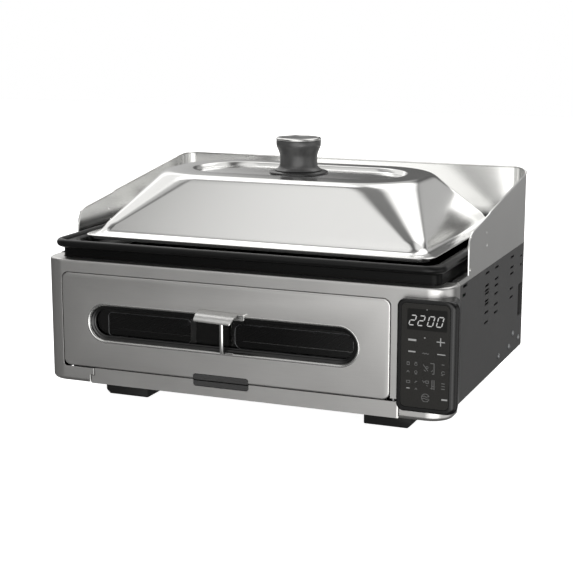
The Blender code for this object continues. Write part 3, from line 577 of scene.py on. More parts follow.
def guard():
    """Splash guard: two wings and a back in one sheet, with a folded hem and front rivets."""
    corner_x, corner_y = BACK_CORNER - GUARD.x1, BACK - BACK_CORNER
    stations = [39.0, WING_FRONT - 0.02, WING_FRONT]
    stations += [WING_FRONT + WING_ROUND * (1 - cos(radians(90 * i / 10))) for i in range(1, 11)]
    stations += [168.0, 169.2, 170.4, 171.6, 172.0, 230.0, 300.0, 340.0]
    # up the left side and round to the back, then the mirror of it
    path = [((-GUARD.x1, y), (1.0, 0.0)) for y in stations if y < corner_y - 0.01]
    path += turn(corner_x, corner_y, BACK_CORNER, 180, 90, 18)
    path += [((-x, y), (-normal_x, normal_y)) for (x, y), (normal_x, normal_y) in reversed(path)]
    loops = []
    for place in path:
        y = place[0][1]
        top = TOP + 3.0 if y < WING_FRONT - 0.01 else guard_top(y)
        profile = [(0, GUARD.z0), (0, top), (SHEET, top), (SHEET, TOP), (12, TOP),
                   (12, TOP - SHEET), (SHEET, TOP - SHEET), (SHEET, GUARD.z0)]
        loops.append(section_at(place, profile))
    # small holes through the wings: y, z, radius
    holes = [circle(*hole, 20)
             for hole in ((156, 185, 1.5), (160, 170, 2.1), (121, 198, 1.0), (250, 205, 1.0))]
    cut = bmesh.new()
    for side in (-1, 1):
        prisms(holes, "X", *across(side, GUARD.x1 - 4, GUARD.x1 + 3), cut)
    piece("guard_skin", loft(loops), "guard", "cabinet", "splash_guard", [cut],
          bevel=0.3)
    # the hem runs up each wing's front edge and along the whole top
    hem_x, hem_y = SHEET / 2 - GUARD.x1, WING_FRONT + 0.1
    run = [(hem_x, hem_y, z) for z in (TOP + 3.2, 152.0, 160.0)]
    run += [(hem_x, y, guard_top(y)) for y in [hem_y] + stations[3:]]
    run += [(x, y, guard_top(outer_y)) for (x, y), (_, outer_y) in
            zip(arc(corner_x, corner_y, BACK_CORNER - SHEET / 2, 180, 90, 18),
                arc(corner_x, corner_y, BACK_CORNER, 180, 90, 18))]
    run += [(-x, y, z) for x, y, z in reversed(run)]
    piece("guard_hem", tube(run, 1.25, 12), "guard", "cabinet")
    dome = ((0.0, 2.0), (0.5, 1.9), (0.95, 1.3), (1.1, 0.5))    # rise, radius
    for side, word in ((-1, "left"), (1, "right")):
        for k, z in enumerate((153.0, 190.0)):
            loops = [at_x(circle(87.0, z, radius, 16), side * (GUARD.x1 + rise - 0.05))
                     for rise, radius in dome]
            piece(f"guard_rivet_{word}_{k + 1}", loft(loops), "guard", "cabinet")


# side vent slots: y of the column, half length, heights
VENTS = ((166.0, 9.0, (136, 121, 115.6, 111.8, 103.0, 99.2, 89, 77)),
         (211.0, 9.0, (135, 121, 113, 103, 90, 80)),
         (289.0, 9.0, (134, 121, 113, 94, 83)),
         (338.0, 5.0, (127, 116)))


def side_panel(name, side):
    """Side sheet wrapped round its back corner, with vent slots and a tall grip recess."""
    path = [((side * SIDE_X, 30.0), (-side, 0.0))]
    path += turn(side * (SIDE_X - BACK_CORNER), BACK - BACK_CORNER, BACK_CORNER,
                 90 - 90 * side, 90, 14)
    path.append(((side * 222.0, BACK), (0.0, -1.0)))
    top, low = extent(name).z1, 8.0
    profile = [(0, low + 0.6), (0.2, low + 0.2), (0.6, low), (11.5, low), (11.5, low + SHEET),
               (SHEET, low + SHEET), (SHEET, top), (0, top)]
    slots = [rounded(y - half, y + half, z - 1.45, z + 1.45, 1.45, 5)
             for y, half, heights in VENTS for z in heights]
    slots += [rounded(326.0, 348.0, 50.0, 92.0, 3.0, 5),
              rect(59.0, 77.0, 137.4, 141.0), rect(58.0, 71.0, 127.6, 131.4)]
    cut = prisms(slots, "X", *across(side, SIDE_X - 5, SIDE_X + 3))
    piece(name + "_skin", loft([section_at(place, profile) for place in path]), "side",
          "cabinet", name, [cut], bevel=0.25)
    # closed back of the grip recess
    hollow = prism(rounded(325.4, 346.0, 49.4, 92.6, 3.0, 5), "X",
                   *across(side, SIDE_X - 9.6, SIDE_X + 3))
    piece(name + "_grip_well",
          block(*across(side, SIDE_X - 11.0, SIDE_X - SHEET - 0.1), 323.0, 347.5, 47.0, 95.0),
          "matte", "cabinet", cuts=[hollow], bevel=0.3)


# ================================================================== control pod
def pod_shell():
    right_round, edge_round = 8.0, 1.8
    loops = []
    for back in (0.0, 0.06, 0.2, 0.42, 0.75, 1.2, 1.8, 2.4, 3.2, 4.2, 5.4, 6.6, 8.0, 20.0, 32.4):
        y = POD.y0 + back
        right = right_round - sqrt(max(0.0, right_round ** 2 - max(0.0, right_round - back) ** 2))
        edge = edge_round - sqrt(max(0.0, edge_round ** 2 - max(0.0, edge_round - back) ** 2))
        lean = max(0.0, y + 5.0) * 5.7 / 26.0
        loops.append(at_y(rounded(POD.x0 + edge, POD.x1 - right - lean, POD.z0 + edge,
                                  POD.z1 - edge, 8.5 - edge * 0.6, 12), y))
    # the pod stops at the bezel's face and follows its corner
    corner = arc(BEZEL.x1 - BEZEL_CORNER, BEZEL_CORNER, BEZEL_CORNER + 0.5, -90, 0, 24)
    behind = [(120, -0.5)] + corner + [(BEZEL.x1 + 0.5, 60), (120, 60)]
    cuts = [prism(behind, "Z", -10, 170),
            prism(rounded(199.6, 253.9, 18.4, 133.2, 6.0, 10), "Y", POD.y0 - 4, POD.y0 + 1.0),
            block(203.0, 250.0, POD.y0 - 2, -3.2, 22.0, 130.0),
            block(206.0, 218.0, -6.0, 4.0, 66.0, 84.0)]
    piece("pod_skin", loft(loops), "pod", "cabinet", "control_housing", cuts,
          bevel=0.25)


def touch_panel():
    piece("touch_panel",
          prism(rounded(200.0, 253.5, 18.8, 132.8, 5.7, 10), "Y", PANEL_Y, POD.y0 + 0.9),
          "glass", "cabinet", "control_glass", bevel=0.2)
    piece("display_lens",
          prism(rounded(206.5, 250.5, 104.2, 127.2, 1.0, 4), "Y", MARK_Y - 0.05, MARK_Y),
          "lens", "cabinet")


# seven-segment ends on a grid one wide and two high
SEGMENTS = {"a": ((0, 2), (1, 2)), "b": ((1, 1), (1, 2)), "c": ((1, 0), (1, 1)),
            "d": ((0, 0), (1, 0)), "e": ((0, 0), (0, 1)), "f": ((0, 1), (0, 2)),
            "g": ((0, 1), (1, 1))}
DIGIT_SHAPES = {"2": "abged", "0": "abcdef"}


def digits():
    """Four slanted seven-segment digits."""
    high, wide, thick, lean = 11.7, 6.9, 1.1, 0.262
    base_z = 108.8

    def grid(column, row):
        return Vector((thick / 2 + column * (wide - thick),
                       thick / 2 + row * (high - thick) / 2))

    for k, (digit, left) in enumerate(zip("2200", (207.6, 217.2, 227.8, 237.8))):
        outlines = []
        for letter in DIGIT_SHAPES[digit]:
            start, end = (grid(*node) for node in SEGMENTS[letter])
            along = (end - start).normalized()
            start, end = start + along * (thick * 0.34), end - along * (thick * 0.34)
            half = Vector((-along.y, along.x)) * (thick / 2)
            point = along * thick / 2
            hexagon = [start, start + point - half, end - point - half,
                       end, end - point + half, start + point + half]
            outlines.append([(left + p.x + p.y * lean, base_z + p.y) for p in hexagon])
        piece(f"digit_{k + 1}", prisms(outlines, "Y", MARK_Y - 0.12, MARK_Y - 0.06), "lit",
              "cabinet")


def marks(name, finish, strokes, y=MARK_Y - 0.03):
    """Raised strokes, each a (width, points) pair; ends run on by a quarter of the width."""
    outlines = []
    for width, points in strokes:
        for start, end in zip(points[:-1], points[1:]):
            along = Vector((end[0] - start[0], end[1] - start[1])).normalized()
            half = Vector((-along.y, along.x)) * (width / 2)
            over = along * (width * 0.25)
            corners = ((start, -1, 1), (start, -1, -1), (end, 1, -1), (end, 1, 1))
            outlines.append([(p[0] + i * over.x + j * half.x, p[1] + i * over.y + j * half.y)
                             for p, i, j in corners])
    piece(name, prisms(outlines, "Y", y - 0.07, y), finish, "cabinet")


def ring(x, z, radius, start=0, end=360, steps=14):
    return arc(x, z, radius, start, end, steps)


def frame_line(x, z, half_x, half_z):
    corners = rect(x - half_x, x + half_x, z - half_z, z + half_z)
    return corners + corners[:1]


# touch panel marks: stroke width, then its x, z points
BARS = [(2.1, [(208.6, 93.1), (216.4, 92.9)]), (1.5, [(208.6, 80.3), (215.9, 80.2)]),
        (1.7, [(246.3, 30.4), (251.9, 30.4)])]
PLUS_MINUS = [(1.05, [(239.6, 93.2), (248.2, 93.0)]), (1.05, [(243.7, 97.2), (243.7, 88.9)]),
              (1.05, [(240.5, 79.7), (249.0, 79.5)])]
DOTS = [(1.3, [(226.0, 96.3), (226.6, 96.3)]), (0.9, [(227.9, 126.9), (228.3, 126.9)]),
        (1.0, [(207.2, 39.7), (210.2, 39.6)])]
SMALL = [
    (0.7, [(223.8, 79.2), (225.4, 79.9), (226.6, 78.6), (228.2, 80.0), (229.4, 78.6),
           (231.0, 79.4)]),
    (0.7, frame_line(208.4, 66.8, 1.3, 1.4)), (0.6, [(206.9, 68.6), (209.9, 68.6)]),
    (0.7, ring(217.0, 66.6, 1.4)), (0.6, [(215.6, 68.8), (218.4, 68.8)]),
    (0.7, [(207.0, 57.2), (208.4, 59.2), (209.8, 57.2)]),
    (0.7, ring(217.1, 58.1, 1.4)), (0.7, [(216.0, 55.9), (218.4, 55.9)]),
    (0.7, [(225.2, 67.0), (227.2, 64.6), (228.6, 62.4), (230.4, 60.6)]),
    (0.7, ring(229.4, 64.2, 1.2)), (0.7, [(226.2, 61.2), (228.0, 60.0)]),
    (0.9, [(233.2, 69.1), (237.1, 69.0), (237.2, 57.6), (235.4, 57.6)]),
    (0.7, [(234.4, 60.0), (235.6, 61.6)]), (0.9, [(245.6, 68.8), (248.2, 68.7)]),
    (0.8, ring(247.2, 59.8, 1.7, 40, 330)), (0.7, [(245.2, 57.4), (247.0, 57.2)]),
    (0.7, frame_line(208.7, 46.8, 1.9, 1.2)), (0.7, [(216.2, 46.0), (217.2, 48.0), (218.6, 47.6)]),
    (0.7, [(216.4, 38.8), (217.5, 40.4), (218.6, 38.8)]),
    (0.7, [(224.8, 49.4), (226.2, 47.4), (227.6, 49.2)]),
    (0.7, frame_line(229.8, 48.2, 1.5, 1.3)), (0.6, [(229.2, 44.6), (230.4, 43.8)]),
    (0.9, [(237.4, 50.8), (237.6, 40.6)]), (0.9, [(235.2, 50.6), (235.2, 40.8)]),
    (0.6, [(233.4, 41.6), (237.4, 41.4)]), (0.6, [(235.2, 44.0), (237.4, 44.0)]),
    (0.9, [(245.8, 48.2), (249.0, 48.0)]), (0.7, [(245.8, 45.2), (249.2, 45.0)]),
    (0.9, [(245.8, 42.2), (249.2, 42.1)]), (0.8, ring(228.2, 30.6, 4.3, 20, 340, 20)),
    (0.7, [(224.8, 31.8), (227.0, 32.6), (229.0, 31.4), (231.4, 32.2)]),
    (0.7, [(224.8, 29.4), (227.0, 30.2), (229.0, 29.0), (231.4, 29.8)]),
    (0.6, [(225.6, 26.4), (230.8, 26.4)])]


def pod():
    pod_shell()
    touch_panel()
    digits()
    marks("marks_bars", "lit2", BARS)
    marks("marks_plus_minus", "lit2", PLUS_MINUS)
    marks("marks_dots", "lit2", DOTS, y=MARK_Y - 0.06)
    marks("marks_small", "dim", SMALL)


# ================================================================== deck, feet, screws, elements
def inset_rings(box, table, steps):
    """Plan rings inside a box from (inset, corner radius, z) rows."""
    return [at_z(rounded(box.x0 + inset, box.x1 - inset, box.y0 + inset, box.y1 - inset,
                         radius, steps), z) for inset, radius, z in table]


def deck():
    box = extent("deck_frame")
    low, top = box.z0, box.z1
    table = [(0, 10, low), (0, 10, top - 2.0), (0.25, 9.9, top - 1.0), (0.7, 9.6, top - 0.35),
             (1.5, 9, top), (5.2, 8, top), (5.9, 7.8, top - 0.4), (6.0, 7.7, top - 1.7),
             (1.8, 8.5, top - 1.7), (1.8, 8.5, low)]
    piece("deck_skin", loft(inset_rings(box, table, 10), closed=True), "enamel", "cabinet",
          "deck_frame")


def foot(name):
    """Foot with a chamfered outer side and a stepped hole up through it."""
    x0, x1, y0, y1, z0, z1 = extent(name)
    side = 1 if x0 > 0 else -1
    loops = []
    for y, inset in ((y0, 1.6), (y0 + 0.5, 0.6), (y0 + 1.8, 0.0), (y1 - 1.8, 0.0),
                     (y1 - 0.5, 0.6), (y1, 1.6)):
        low = z0 + inset
        inner, outer = (x0 + inset, x1 - inset)[::side]
        outline = [(inner, low + 1.2), (inner + side * 0.4, low + 0.35), (inner + side * 1.3, low),
                   (outer - side * 5.6, low), (outer - side * 4.6, low + 0.3),
                   (outer - side * 0.4, low + 4.4), (outer, low + 5.6), (outer, z1), (inner, z1)]
        loops.append(at_y(outline, y))
    hole_x = (x0 + 27.0) if side > 0 else (x1 - 27.0)
    hole = [(5.6, z0 - 2), (5.6, -12.0), (2.7, -12.0), (2.7, z1 + 2)]    # radius, z
    piece(name + "_skin", loft(loops), "foot", "cabinet", name,
          [lathe(hole, hole_x, y0 + 15.0, 24)])


def screw_head(name):
    """Domed head with a cross recess."""
    x0, x1, y0, y1, z0, z1 = extent(name)
    y, z, radius = (y0 + y1) / 2, (z0 + z1) / 2, (y1 - y0) / 2
    dome = ((x0, 1.0), (x0 + 0.7, 0.98), (x0 + 1.3, 0.82), (x0 + 1.7, 0.5), (x1, 0.12))
    cuts = [block(x0 + 0.9, x1 + 2, y - half_y, y + half_y, z - half_z, z + half_z)
            for half_y, half_z in ((1.9, 0.35), (0.35, 1.9))]
    piece(name + "_head", loft([at_x(circle(y, z, k * radius, 24), x) for x, k in dome]), "zinc",
          "cabinet", name, cuts)


def elements():
    rod_radius = 3.2
    oven = [(140, 333), (140, 70), (-180, 70), (-180, 290), (100, 290), (100, 333)]
    griddle = [(-190, 330), (-190, 50), (-110, 50), (-110, 300), (-40, 300), (-40, 60),
               (40, 60), (40, 300), (110, 300), (110, 50), (190, 50), (190, 330)]
    for name, z, corners in (("oven_element", 44, oven), ("griddle_element", 143.4, griddle)):
        piece(name + "_rod", tube(bent(at_z(corners, z)), rod_radius), "element", "cabinet",
              name)
    blades = [rounded(x - 1.0, x + 1.0, 29.4, 34.6, 0.4, 3) for x in (181.5, 187.5, 193.5)]
    piece("inlet_blades", prisms(blades, "Y", 351.0, 361.0), "chrome", "cabinet")


# ================================================================== door
def door_skin():
    """Pressed outer skin with a rolled edge."""
    front, roll = DOOR.y0, 1.9
    # y and inset of each ring
    rings = [(DOOR.y1, 0.0)] + [(front + roll * (1 - sin(radians(90 * i / 8))),
                                 roll * (1 - cos(radians(90 * i / 8)))) for i in range(9)]
    loops = [at_y(rounded(DOOR.x0 + inset, DOOR.x1 - inset, DOOR.z0 + inset, DOOR.z1 - inset,
                          8.5 - 0.75 * inset, 12), y) for y, inset in rings]
    hole = circle(6.0, 25.0, 1.6, 20)
    pins = prism(hole, "X", DOOR.x0 - 3, DOOR.x0 + 4)
    prism(hole, "X", DOOR.x1 - 4, DOOR.x1 + 3, pins)
    hollow = rounded(DOOR.x0 + SHEET, DOOR.x1 - SHEET, DOOR.z0 + SHEET, DOOR.z1 - SHEET, 7.0, 8)
    pad = rounded(RECESS.x0 - PAD_GAP, RECESS.x1 + PAD_GAP, DOOR.z0 - 12, RECESS.z1 + PAD_GAP,
                  3.2, 6)
    cuts = [prism(hollow, "Y", front + SHEET + 1.4, DOOR.y1 + 3),
            prism(stadium(0.0), "Y", front - 3, 8.0),
            prism(pad, "Y", front - 3, 6.0),
            pins]
    piece("door_skin", loft(loops), "front", "door", "door_outer_panel", cuts)


def stadium(inset):
    return rounded(WINDOW_X0 + inset, WINDOW_X1 - inset, WINDOW_Z0 + inset, WINDOW_Z1 - inset,
                   60.0, 26)


def window_rings():
    """Dished trim with a rolled lip, then a dark reveal that steps down to the glass."""
    front = DOOR.y0
    gasket = extent("window_gasket").y0
    # inset, y
    lip = [(0.2, front + 1.8), (-1.1, front + 0.05), (-0.9, front - 0.30), (-0.2, front - 0.45),
           (0.6, front - 0.30), (1.3, front + 0.15), (2.0, front + 1.1), (2.5, front + 2.2),
           (2.8, front + 3.6), (2.8, gasket - 0.3), (0.4, gasket - 0.3)]
    steps = [(2.7, front + 2.6), (3.1, front + 3.1), (3.7, front + 3.4), (4.9, front + 3.5),
             (5.3, front + 3.8), (5.5, front + 4.9), (5.8, front + 5.2), (6.6, front + 5.3),
             (6.9, front + 5.6), (6.9, gasket - 0.35), (2.7, gasket - 0.35)]
    for name, finish, profile, replaces in (("window_surround", "trim", lip, "window_trim"),
                                            ("window_reveal", "reveal", steps, None)):
        piece(name, loft([at_y(stadium(inset), y) for inset, y in profile], closed=True), finish,
              "door", replaces, angle=50)


def window_pane():
    glass = extent("window_glass")
    piece("window_pane",
          prism(rounded(glass.x0, glass.x1, glass.z0, glass.z1, 8.0, 8), "Y", glass.y0, glass.y1),
          "pane", "door", "window_glass", bevel=0.3)


def door_liner():
    """Inner panel: two hemmed openings, with a grey bar at the left of the solid part between."""
    panel = extent("door_inner_panel")
    low, high, split = WINDOW_Z0 + 5.6, WINDOW_Z1 - 11.6, -60.5
    openings = [rounded(WINDOW_X0 + 21.0, split, low, high, 5.0, 6),
                rounded(-5.0, WINDOW_X1 - 10.0, low, high, 8.0, 6)]
    piece("door_liner",
          prism(rounded(panel.x0, panel.x1, panel.z0, panel.z1, 6.6, 6), "Y", panel.y0, panel.y1),
          "cavity", "door", "door_inner_panel",
          [prisms(openings, "Y", panel.y0 - 3, panel.y1 + 3)], bevel=0.25)
    for k, opening in enumerate(openings):
        piece(f"opening_hem_{k + 1}", tube(at_y(opening, panel.y0 - 0.15), 0.45, 8, closed=True),
              "zinc", "door")
    # a grey upright strip behind the window, at the left of the solid part
    piece("grey_upright_bar", prism(rounded(split - 0.2, -53.8, low - 0.5, high + 1.5, 0.8, 3), "Y",
                             panel.y0 - 0.8, panel.y0 - 0.05),
          "bar", "door", bevel=0.2)


TAB_LEFT = -43.5
TAB_FACE = DOOR.y0 - 0.35
# the tab's curl, root to tip: y from TAB_FACE, z
TAB_CURL = [(0.0, 101.6), (-1.6, 102.3), (-4.2, 102.0), (-8.0, 100.5), (-12.2, 97.9),
            (-15.2, 95.2), (-16.4, 93.2), (-16.7, 91.8)]


def tab_section(x):
    """The tongue's section: full reach up to the slant at its right end, then a short stub."""
    reach = 1.0 if x <= 1.0 else max(0.32, 1.0 - (x - 1.0) / 4.6 * 0.68)
    last, steps = len(TAB_CURL) - 1, 12
    points = []
    for i in range(steps + 1):
        t = i / steps * reach * last
        j = min(int(t), last - 1)
        (y0, z0), (y1, z1) = TAB_CURL[j:j + 2]
        points.append(Vector((y0 + (y1 - y0) * (t - j), z0 + (z1 - z0) * (t - j))))
    drop = 0.03 * (x - TAB_LEFT)
    upper, lower = [], []
    for i, point in enumerate(points):
        along = (points[min(i + 1, steps)] - points[max(i - 1, 0)]).normalized()
        normal = Vector((along.y, -along.x))
        if normal.y < 0:
            normal = -normal
        half = 0.7 if i < steps else 0.35
        upper.append(point + normal * half)
        lower.append(point - normal * half)
    return [(x, TAB_FACE + q.x - (0.0 if q.x < -0.8 else q.x * 0.4), q.y - drop)
            for q in upper + lower[::-1]]


def tab_handle():
    stations = [TAB_LEFT, -43.1, -42.0, -30.0, -15.0, 0.0, 1.0, 2.2, 3.4, 4.6, 5.6, 7.0, 10.0,
                12.0, 12.7]
    piece("tab_handle", loft([tab_section(x) for x in stations]), "tab", "door",
          "door_handle", angle=60)
    piece("tab_foot",
          prism(rounded(-41.0, 12.0, 93.0, 101.0, 1.5, 5), "Y", TAB_FACE - 1.0, TAB_FACE + 0.3),
          "tab", "door", bevel=0.3)


def window_stay():
    """Flattened upright bar, and a small plate of bright lid steel to the right of its foot that
    paints a highlight onto the lower trim.
    """
    stay = extent("window_stay")
    mid_x, mid_y = (stay.x0 + stay.x1) / 2, (stay.y0 + stay.y1) / 2
    rings = ((stay.z0, 0.75), (stay.z0 + 0.6, 1.0), (stay.z1 - 0.5, 1.0), (stay.z1, 0.8))
    piece("stay_bar", loft([at_z(ellipse(mid_x, mid_y, k * 2.1, k, 24), z) for z, k in rings]),
          "lid", "door", "window_stay")
    # painted highlight: a bright steel plate laid on the lower trim where a glint falls
    plate = rounded(mid_x + 3.5, mid_x + 13.5, WINDOW_Z0 + 0.6, WINDOW_Z0 + 2.6, 0.8, 5)
    piece("stay_glint_plate", prism(plate, "Y", DOOR.y0 - 1.0, DOOR.y0 - 0.3), "lid", "door",
          bevel=0.25)


def upper_pad():
    front, (x0, x1, _, y1, z0, z1) = DOOR.y0, RECESS
    profile = [(front + 0.25, z0 - 0.25), (front + 0.15, z0 + 0.1), (front + 0.1, z1 - 0.6),
               (front + 0.5, z1), (y1, z1), (y1, z1 - 1.3), (2.0, z0 + 1.8), (2.0, z0)]
    piece("pad_upper", prism(profile, "X", x0, x1), "grip", "door",
          "door_recess_liner", within=prism(rounded(x0, x1, z0 - 30.0, z1, 3.0, 6), "Y", -20, 30),
          bevel=0.25)


# ================================================================== crumb tray and rack
def tray_strip():
    """Front strip, stepped at its left end and rounded at its lower right."""
    x0, x1, z0, z1 = TRAY.x0, TRAY.x1, TRAY.z0, TRAY.z1 + 0.8
    step_x, round_r = x0 + TRAY_STEP, 2.6
    outline = [(x0, z0 + 0.5), (x0 + 0.5, z0), (x1 - 0.5, z0), (x1, z0 + 0.5), (x1, z1 - 0.5),
               (x1 - 0.5, z1), (step_x + 0.4, z1), (step_x, z1 - 0.4), (step_x, 10.2),
               (step_x - 0.4, 9.9), (x0 + 0.4, 9.9), (x0, 9.5)]
    end = ([(x1 + 1, -1)] + arc(x1 - round_r, round_r, round_r, 0, -90, 8)
           + [(x1 - round_r, -1)])
    pad = rounded(RECESS.x0 - PAD_GAP, RECESS.x1 + PAD_GAP, 11.3, 40.0, 3.2, 6)
    piece("tray_strip", prism(outline, "Y", TRAY.y0, TRAY.y1), "front", "tray",
          "tray_front", [prism(end, "Z", -3, 30), prism(pad, "Y", -3, 5)], bevel=0.35, segments=3)


def lower_pad():
    pull = extent("tray_pull")
    top = pull.z1 + 0.35
    profile = [(0.35, 11.8), (0.1, 12.1), (0.1, top - 0.2), (0.5, top), (0.9, top - 0.1),
               (1.9, top - 1.4), (3.4, top - 2.2), (3.4, 8.4), (1.9, 8.4), (1.9, 11.8)]
    piece("pad_lower", prism(profile, "X", pull.x0, pull.x1), "grip", "tray",
          "tray_pull",
          within=prism(rounded(pull.x0, pull.x1, 11.7, 60, 3.0, 6), "Y", -20, 2.0), bevel=0.25)


def tray_body():
    box = extent("crumb_tray")
    low, top = box.z0, box.z1
    table = [(3.0, 5, low), (1.2, 6.6, low + 0.5), (0.3, 7.6, low + 1.3), (0, 8, low + 2.4),
             (0, 8, top - 0.5), (0.3, 7.7, top - 0.1), (0.9, 7.2, top), (1.2, 6.8, top - 0.4),
             (1.2, 6.8, low + 3.0), (1.6, 6.4, low + 2.0), (2.6, 5.6, low + 1.4),
             (4.5, 4, low + 1.2)]
    piece("tray_body", loft(inset_rings(box, table, 8)), "zinc", "tray",
          "crumb_tray")


def rack():
    x0, x1, y0, y1, z0, z1 = extent("oven_rack")
    rim = 1.5
    z = (z0 + z1) / 2
    wires = tube(at_z(rounded(x0 + rim, x1 - rim, y0 + rim, y1 - rim, 8.0, 6), z), rim, 12,
                 closed=True)
    for k in range(1, 26):
        x = x0 + (x1 - x0) * k / 26
        tube([(x, y0 + rim, z), (x, y1 - rim, z)], 1.1, 8, shape=wires)
    for y in ((2 * y0 + y1) / 3, (y0 + 2 * y1) / 3):
        tube([(x0 + rim, y, z), (x1 - rim, y, z)], 1.3, 8, shape=wires)
    piece("rack_wires", wires, "chrome", "rack", "oven_rack")


# ================================================================== pan
def pan():
    x0, x1, y0, y1, z0, z1 = extent("pan_rim")
    roll = (z1 - z0) / 2
    rim = at_z(rounded(x0 + roll, x1 - roll, y0 + roll, y1 - roll, 18.0, 14), (z0 + z1) / 2)
    piece("rim_roll", tube(rim, roll, 28, closed=True), "pan", "pan", "pan_rim")
    # where the body meets the inside of the rim roll
    edge, front, back = x1 - 2 * roll + 0.6, y0 + 2 * roll - 0.6, y1 - 2 * roll + 0.6
    # half width, front y, back y, corner radius, z
    table = [(217, 32, 333, 14, 150.0), (220.6, 28.6, 336.6, 17, 150.7),
             (223.0, 26.4, 339.0, 19, 152.4), (223.8, 25.6, 339.8, 19.5, 155.0),
             (224.5, 25.0, 340.5, 20, 162.0), (225.6, 23.6, 341.6, 19, 163.6),
             (edge, front, back, 17, 164.3), (edge, front, back, 17, 166.6),
             (226.5, 22.6, 342.4, 19, 166.5), (223.4, 26.0, 339.4, 19, 165.8),
             (222.2, 27.2, 338.2, 18.5, 164.2), (221.2, 28.2, 337.2, 18, 157.6),
             (220.0, 29.4, 336.0, 17, 155.6), (217.5, 32.0, 333.4, 14, 154.5)]
    loops = [at_z(rounded(-half, half, near, far, radius, 12), z)
             for half, near, far, radius, z in table]
    piece("pan_body", loft(loops), "pan", "pan", "griddle_pan", angle=50)
    # shallow ribs standing on the floor, tapered at both ends
    ribs = bmesh.new()
    for k in range(-9, 10):
        x = k * 20.0
        loft([[(x - 2.6 * s, y, 154.3), (x + 2.6 * s, y, 154.3),
               (x + 1.7 * s, y, 154.5 + 0.9 * s), (x, y, 154.5 + 1.15 * s),
               (x - 1.7 * s, y, 154.5 + 0.9 * s)]
              for y, s in ((52, 0.2), (54, 0.8), (57, 1.0), (309, 1.0), (312, 0.8), (314, 0.2))],
             shape=ribs)
    piece("pan_ribs", ribs, "pan", "pan")


# ================================================================== lid
LID = extent("lid_shell")
LID_X, LID_Y = (LID.x0 + LID.x1) / 2, (LID.y0 + LID.y1) / 2


def between(start, end, steps):
    return [tuple(a + (b - a) * k / steps for a, b in zip(start, end)) for k in range(1, steps)]


def lid_ring(half_x, half_y, radius, z, forward=0.0):
    """forward pushes the front edge out."""
    return at_z(rounded(LID_X - half_x, LID_X + half_x, LID_Y - half_y - forward, LID_Y + half_y,
                        radius, 22), z)


def lid_shell():
    """Pressed lid: folded base edge, sloping walls, raised top border, crowned emboss floor."""
    low, floor_z, top = LID.z0 + 4.0, LID.z1 - 1.85, LID.z1 + 1.1
    crown, skin = 2.6, 1.15
    edge_z = floor_z - crown
    # rows here are lid_ring's arguments
    base, rim = (200.4, 138.0, 21.0, low + 12.6, 0.0), (167.6, 92.2, 72.0, top - 5.6, 9.4)
    crest, flat = (163.4, 86.6, 76.0, top, 10.6), (156.6, 79.6, 70.0, top, 9.6)
    outer = [(210.5, 149.0, 12, low - 4.0), (210.5, 149.0, 12, low), (215.6, 154.1, 17, low),
             (216.6, 155.1, 17.6, low + 0.25), (217.0, 155.5, 18, low + 0.8),
             (216.6, 155.1, 17.6, low + 1.5), (215.4, 153.9, 16.6, low + 1.8),
             (212.0, 150.5, 16.0, low + 2.3), (208.6, 146.9, 16.6, low + 2.7),
             (206.0, 144.3, 17.6, low + 3.9), (204.0, 142.2, 18.8, low + 5.8),
             (202.2, 140.2, 20.0, low + 8.8), base]
    outer += between(base, rim, 14) + [rim]
    outer += [tuple((1 - t) ** 2 * a + 2 * t * (1 - t) * b + t * t * c
                    for a, b, c in zip(rim, crest, flat)) for t in [k / 10 for k in range(1, 11)]]
    outer += [(151.0, 74.0, 66.0, top, 6.0), (138.5, 60.5, 59.5, top),
              (136.8, 58.8, 58.0, top - 0.15), (135.8, 57.8, 57.2, top - 0.6),
              (134.4, 56.4, 55.8, edge_z + 1.0), (133.4, 55.4, 54.8, edge_z + 0.3)]
    # the emboss floor, from its edge inward
    for t in (1.0, 0.94, 0.86, 0.78, 0.68, 0.56, 0.44, 0.32, 0.20, 0.15):
        half_x = 78.0 * min(1.0, (t - 0.15) / 0.3) + 53.6 * t
        outer.append((half_x, 53.6 * t, 53.2 * t, floor_z - crown * t * t))
    outer.append((3.7, 3.7, 3.69, floor_z))
    inner = [(3.7, 3.7, 3.69, floor_z - skin), (8.0, 8.0, 7.9, floor_z - skin),
             (78.0, 30.0, 29.5, floor_z - 2.2), (135.0, 57.0, 56.0, edge_z - skin),
             (154.0, 77.0, 66.0, top - 1.3, 9.0), (160.6, 83.6, 70.0, top - 2.8, 9.4),
             (166.0, 90.2, 70.0, top - 7.4, 9.4)]
    wall_foot = (199.0, 136.8, 19.0, low + 8.6, 0.0)
    inner += between(inner[-1], wall_foot, 8) + [wall_foot]
    inner += [(206.0, 144.5, 12, low + 0.5), (209.2, 147.7, 11, low + 0.2),
              (209.2, 147.7, 11, low - 4.0)]
    piece("lid_skin", loft([lid_ring(*row) for row in outer + inner], closed=True), "lid", "lid",
          "lid_shell", angle=48)


def turned(name, finish, replaces, base, profile, closed=True, angle=50):
    """A knob part turned about the lid's centre: (radius, rise above base) rows."""
    rows = [(radius, base + rise) for radius, rise in profile]
    piece(name, lathe(rows, LID_X, LID_Y, closed=closed), finish, "lid", replaces,
          angle=angle)


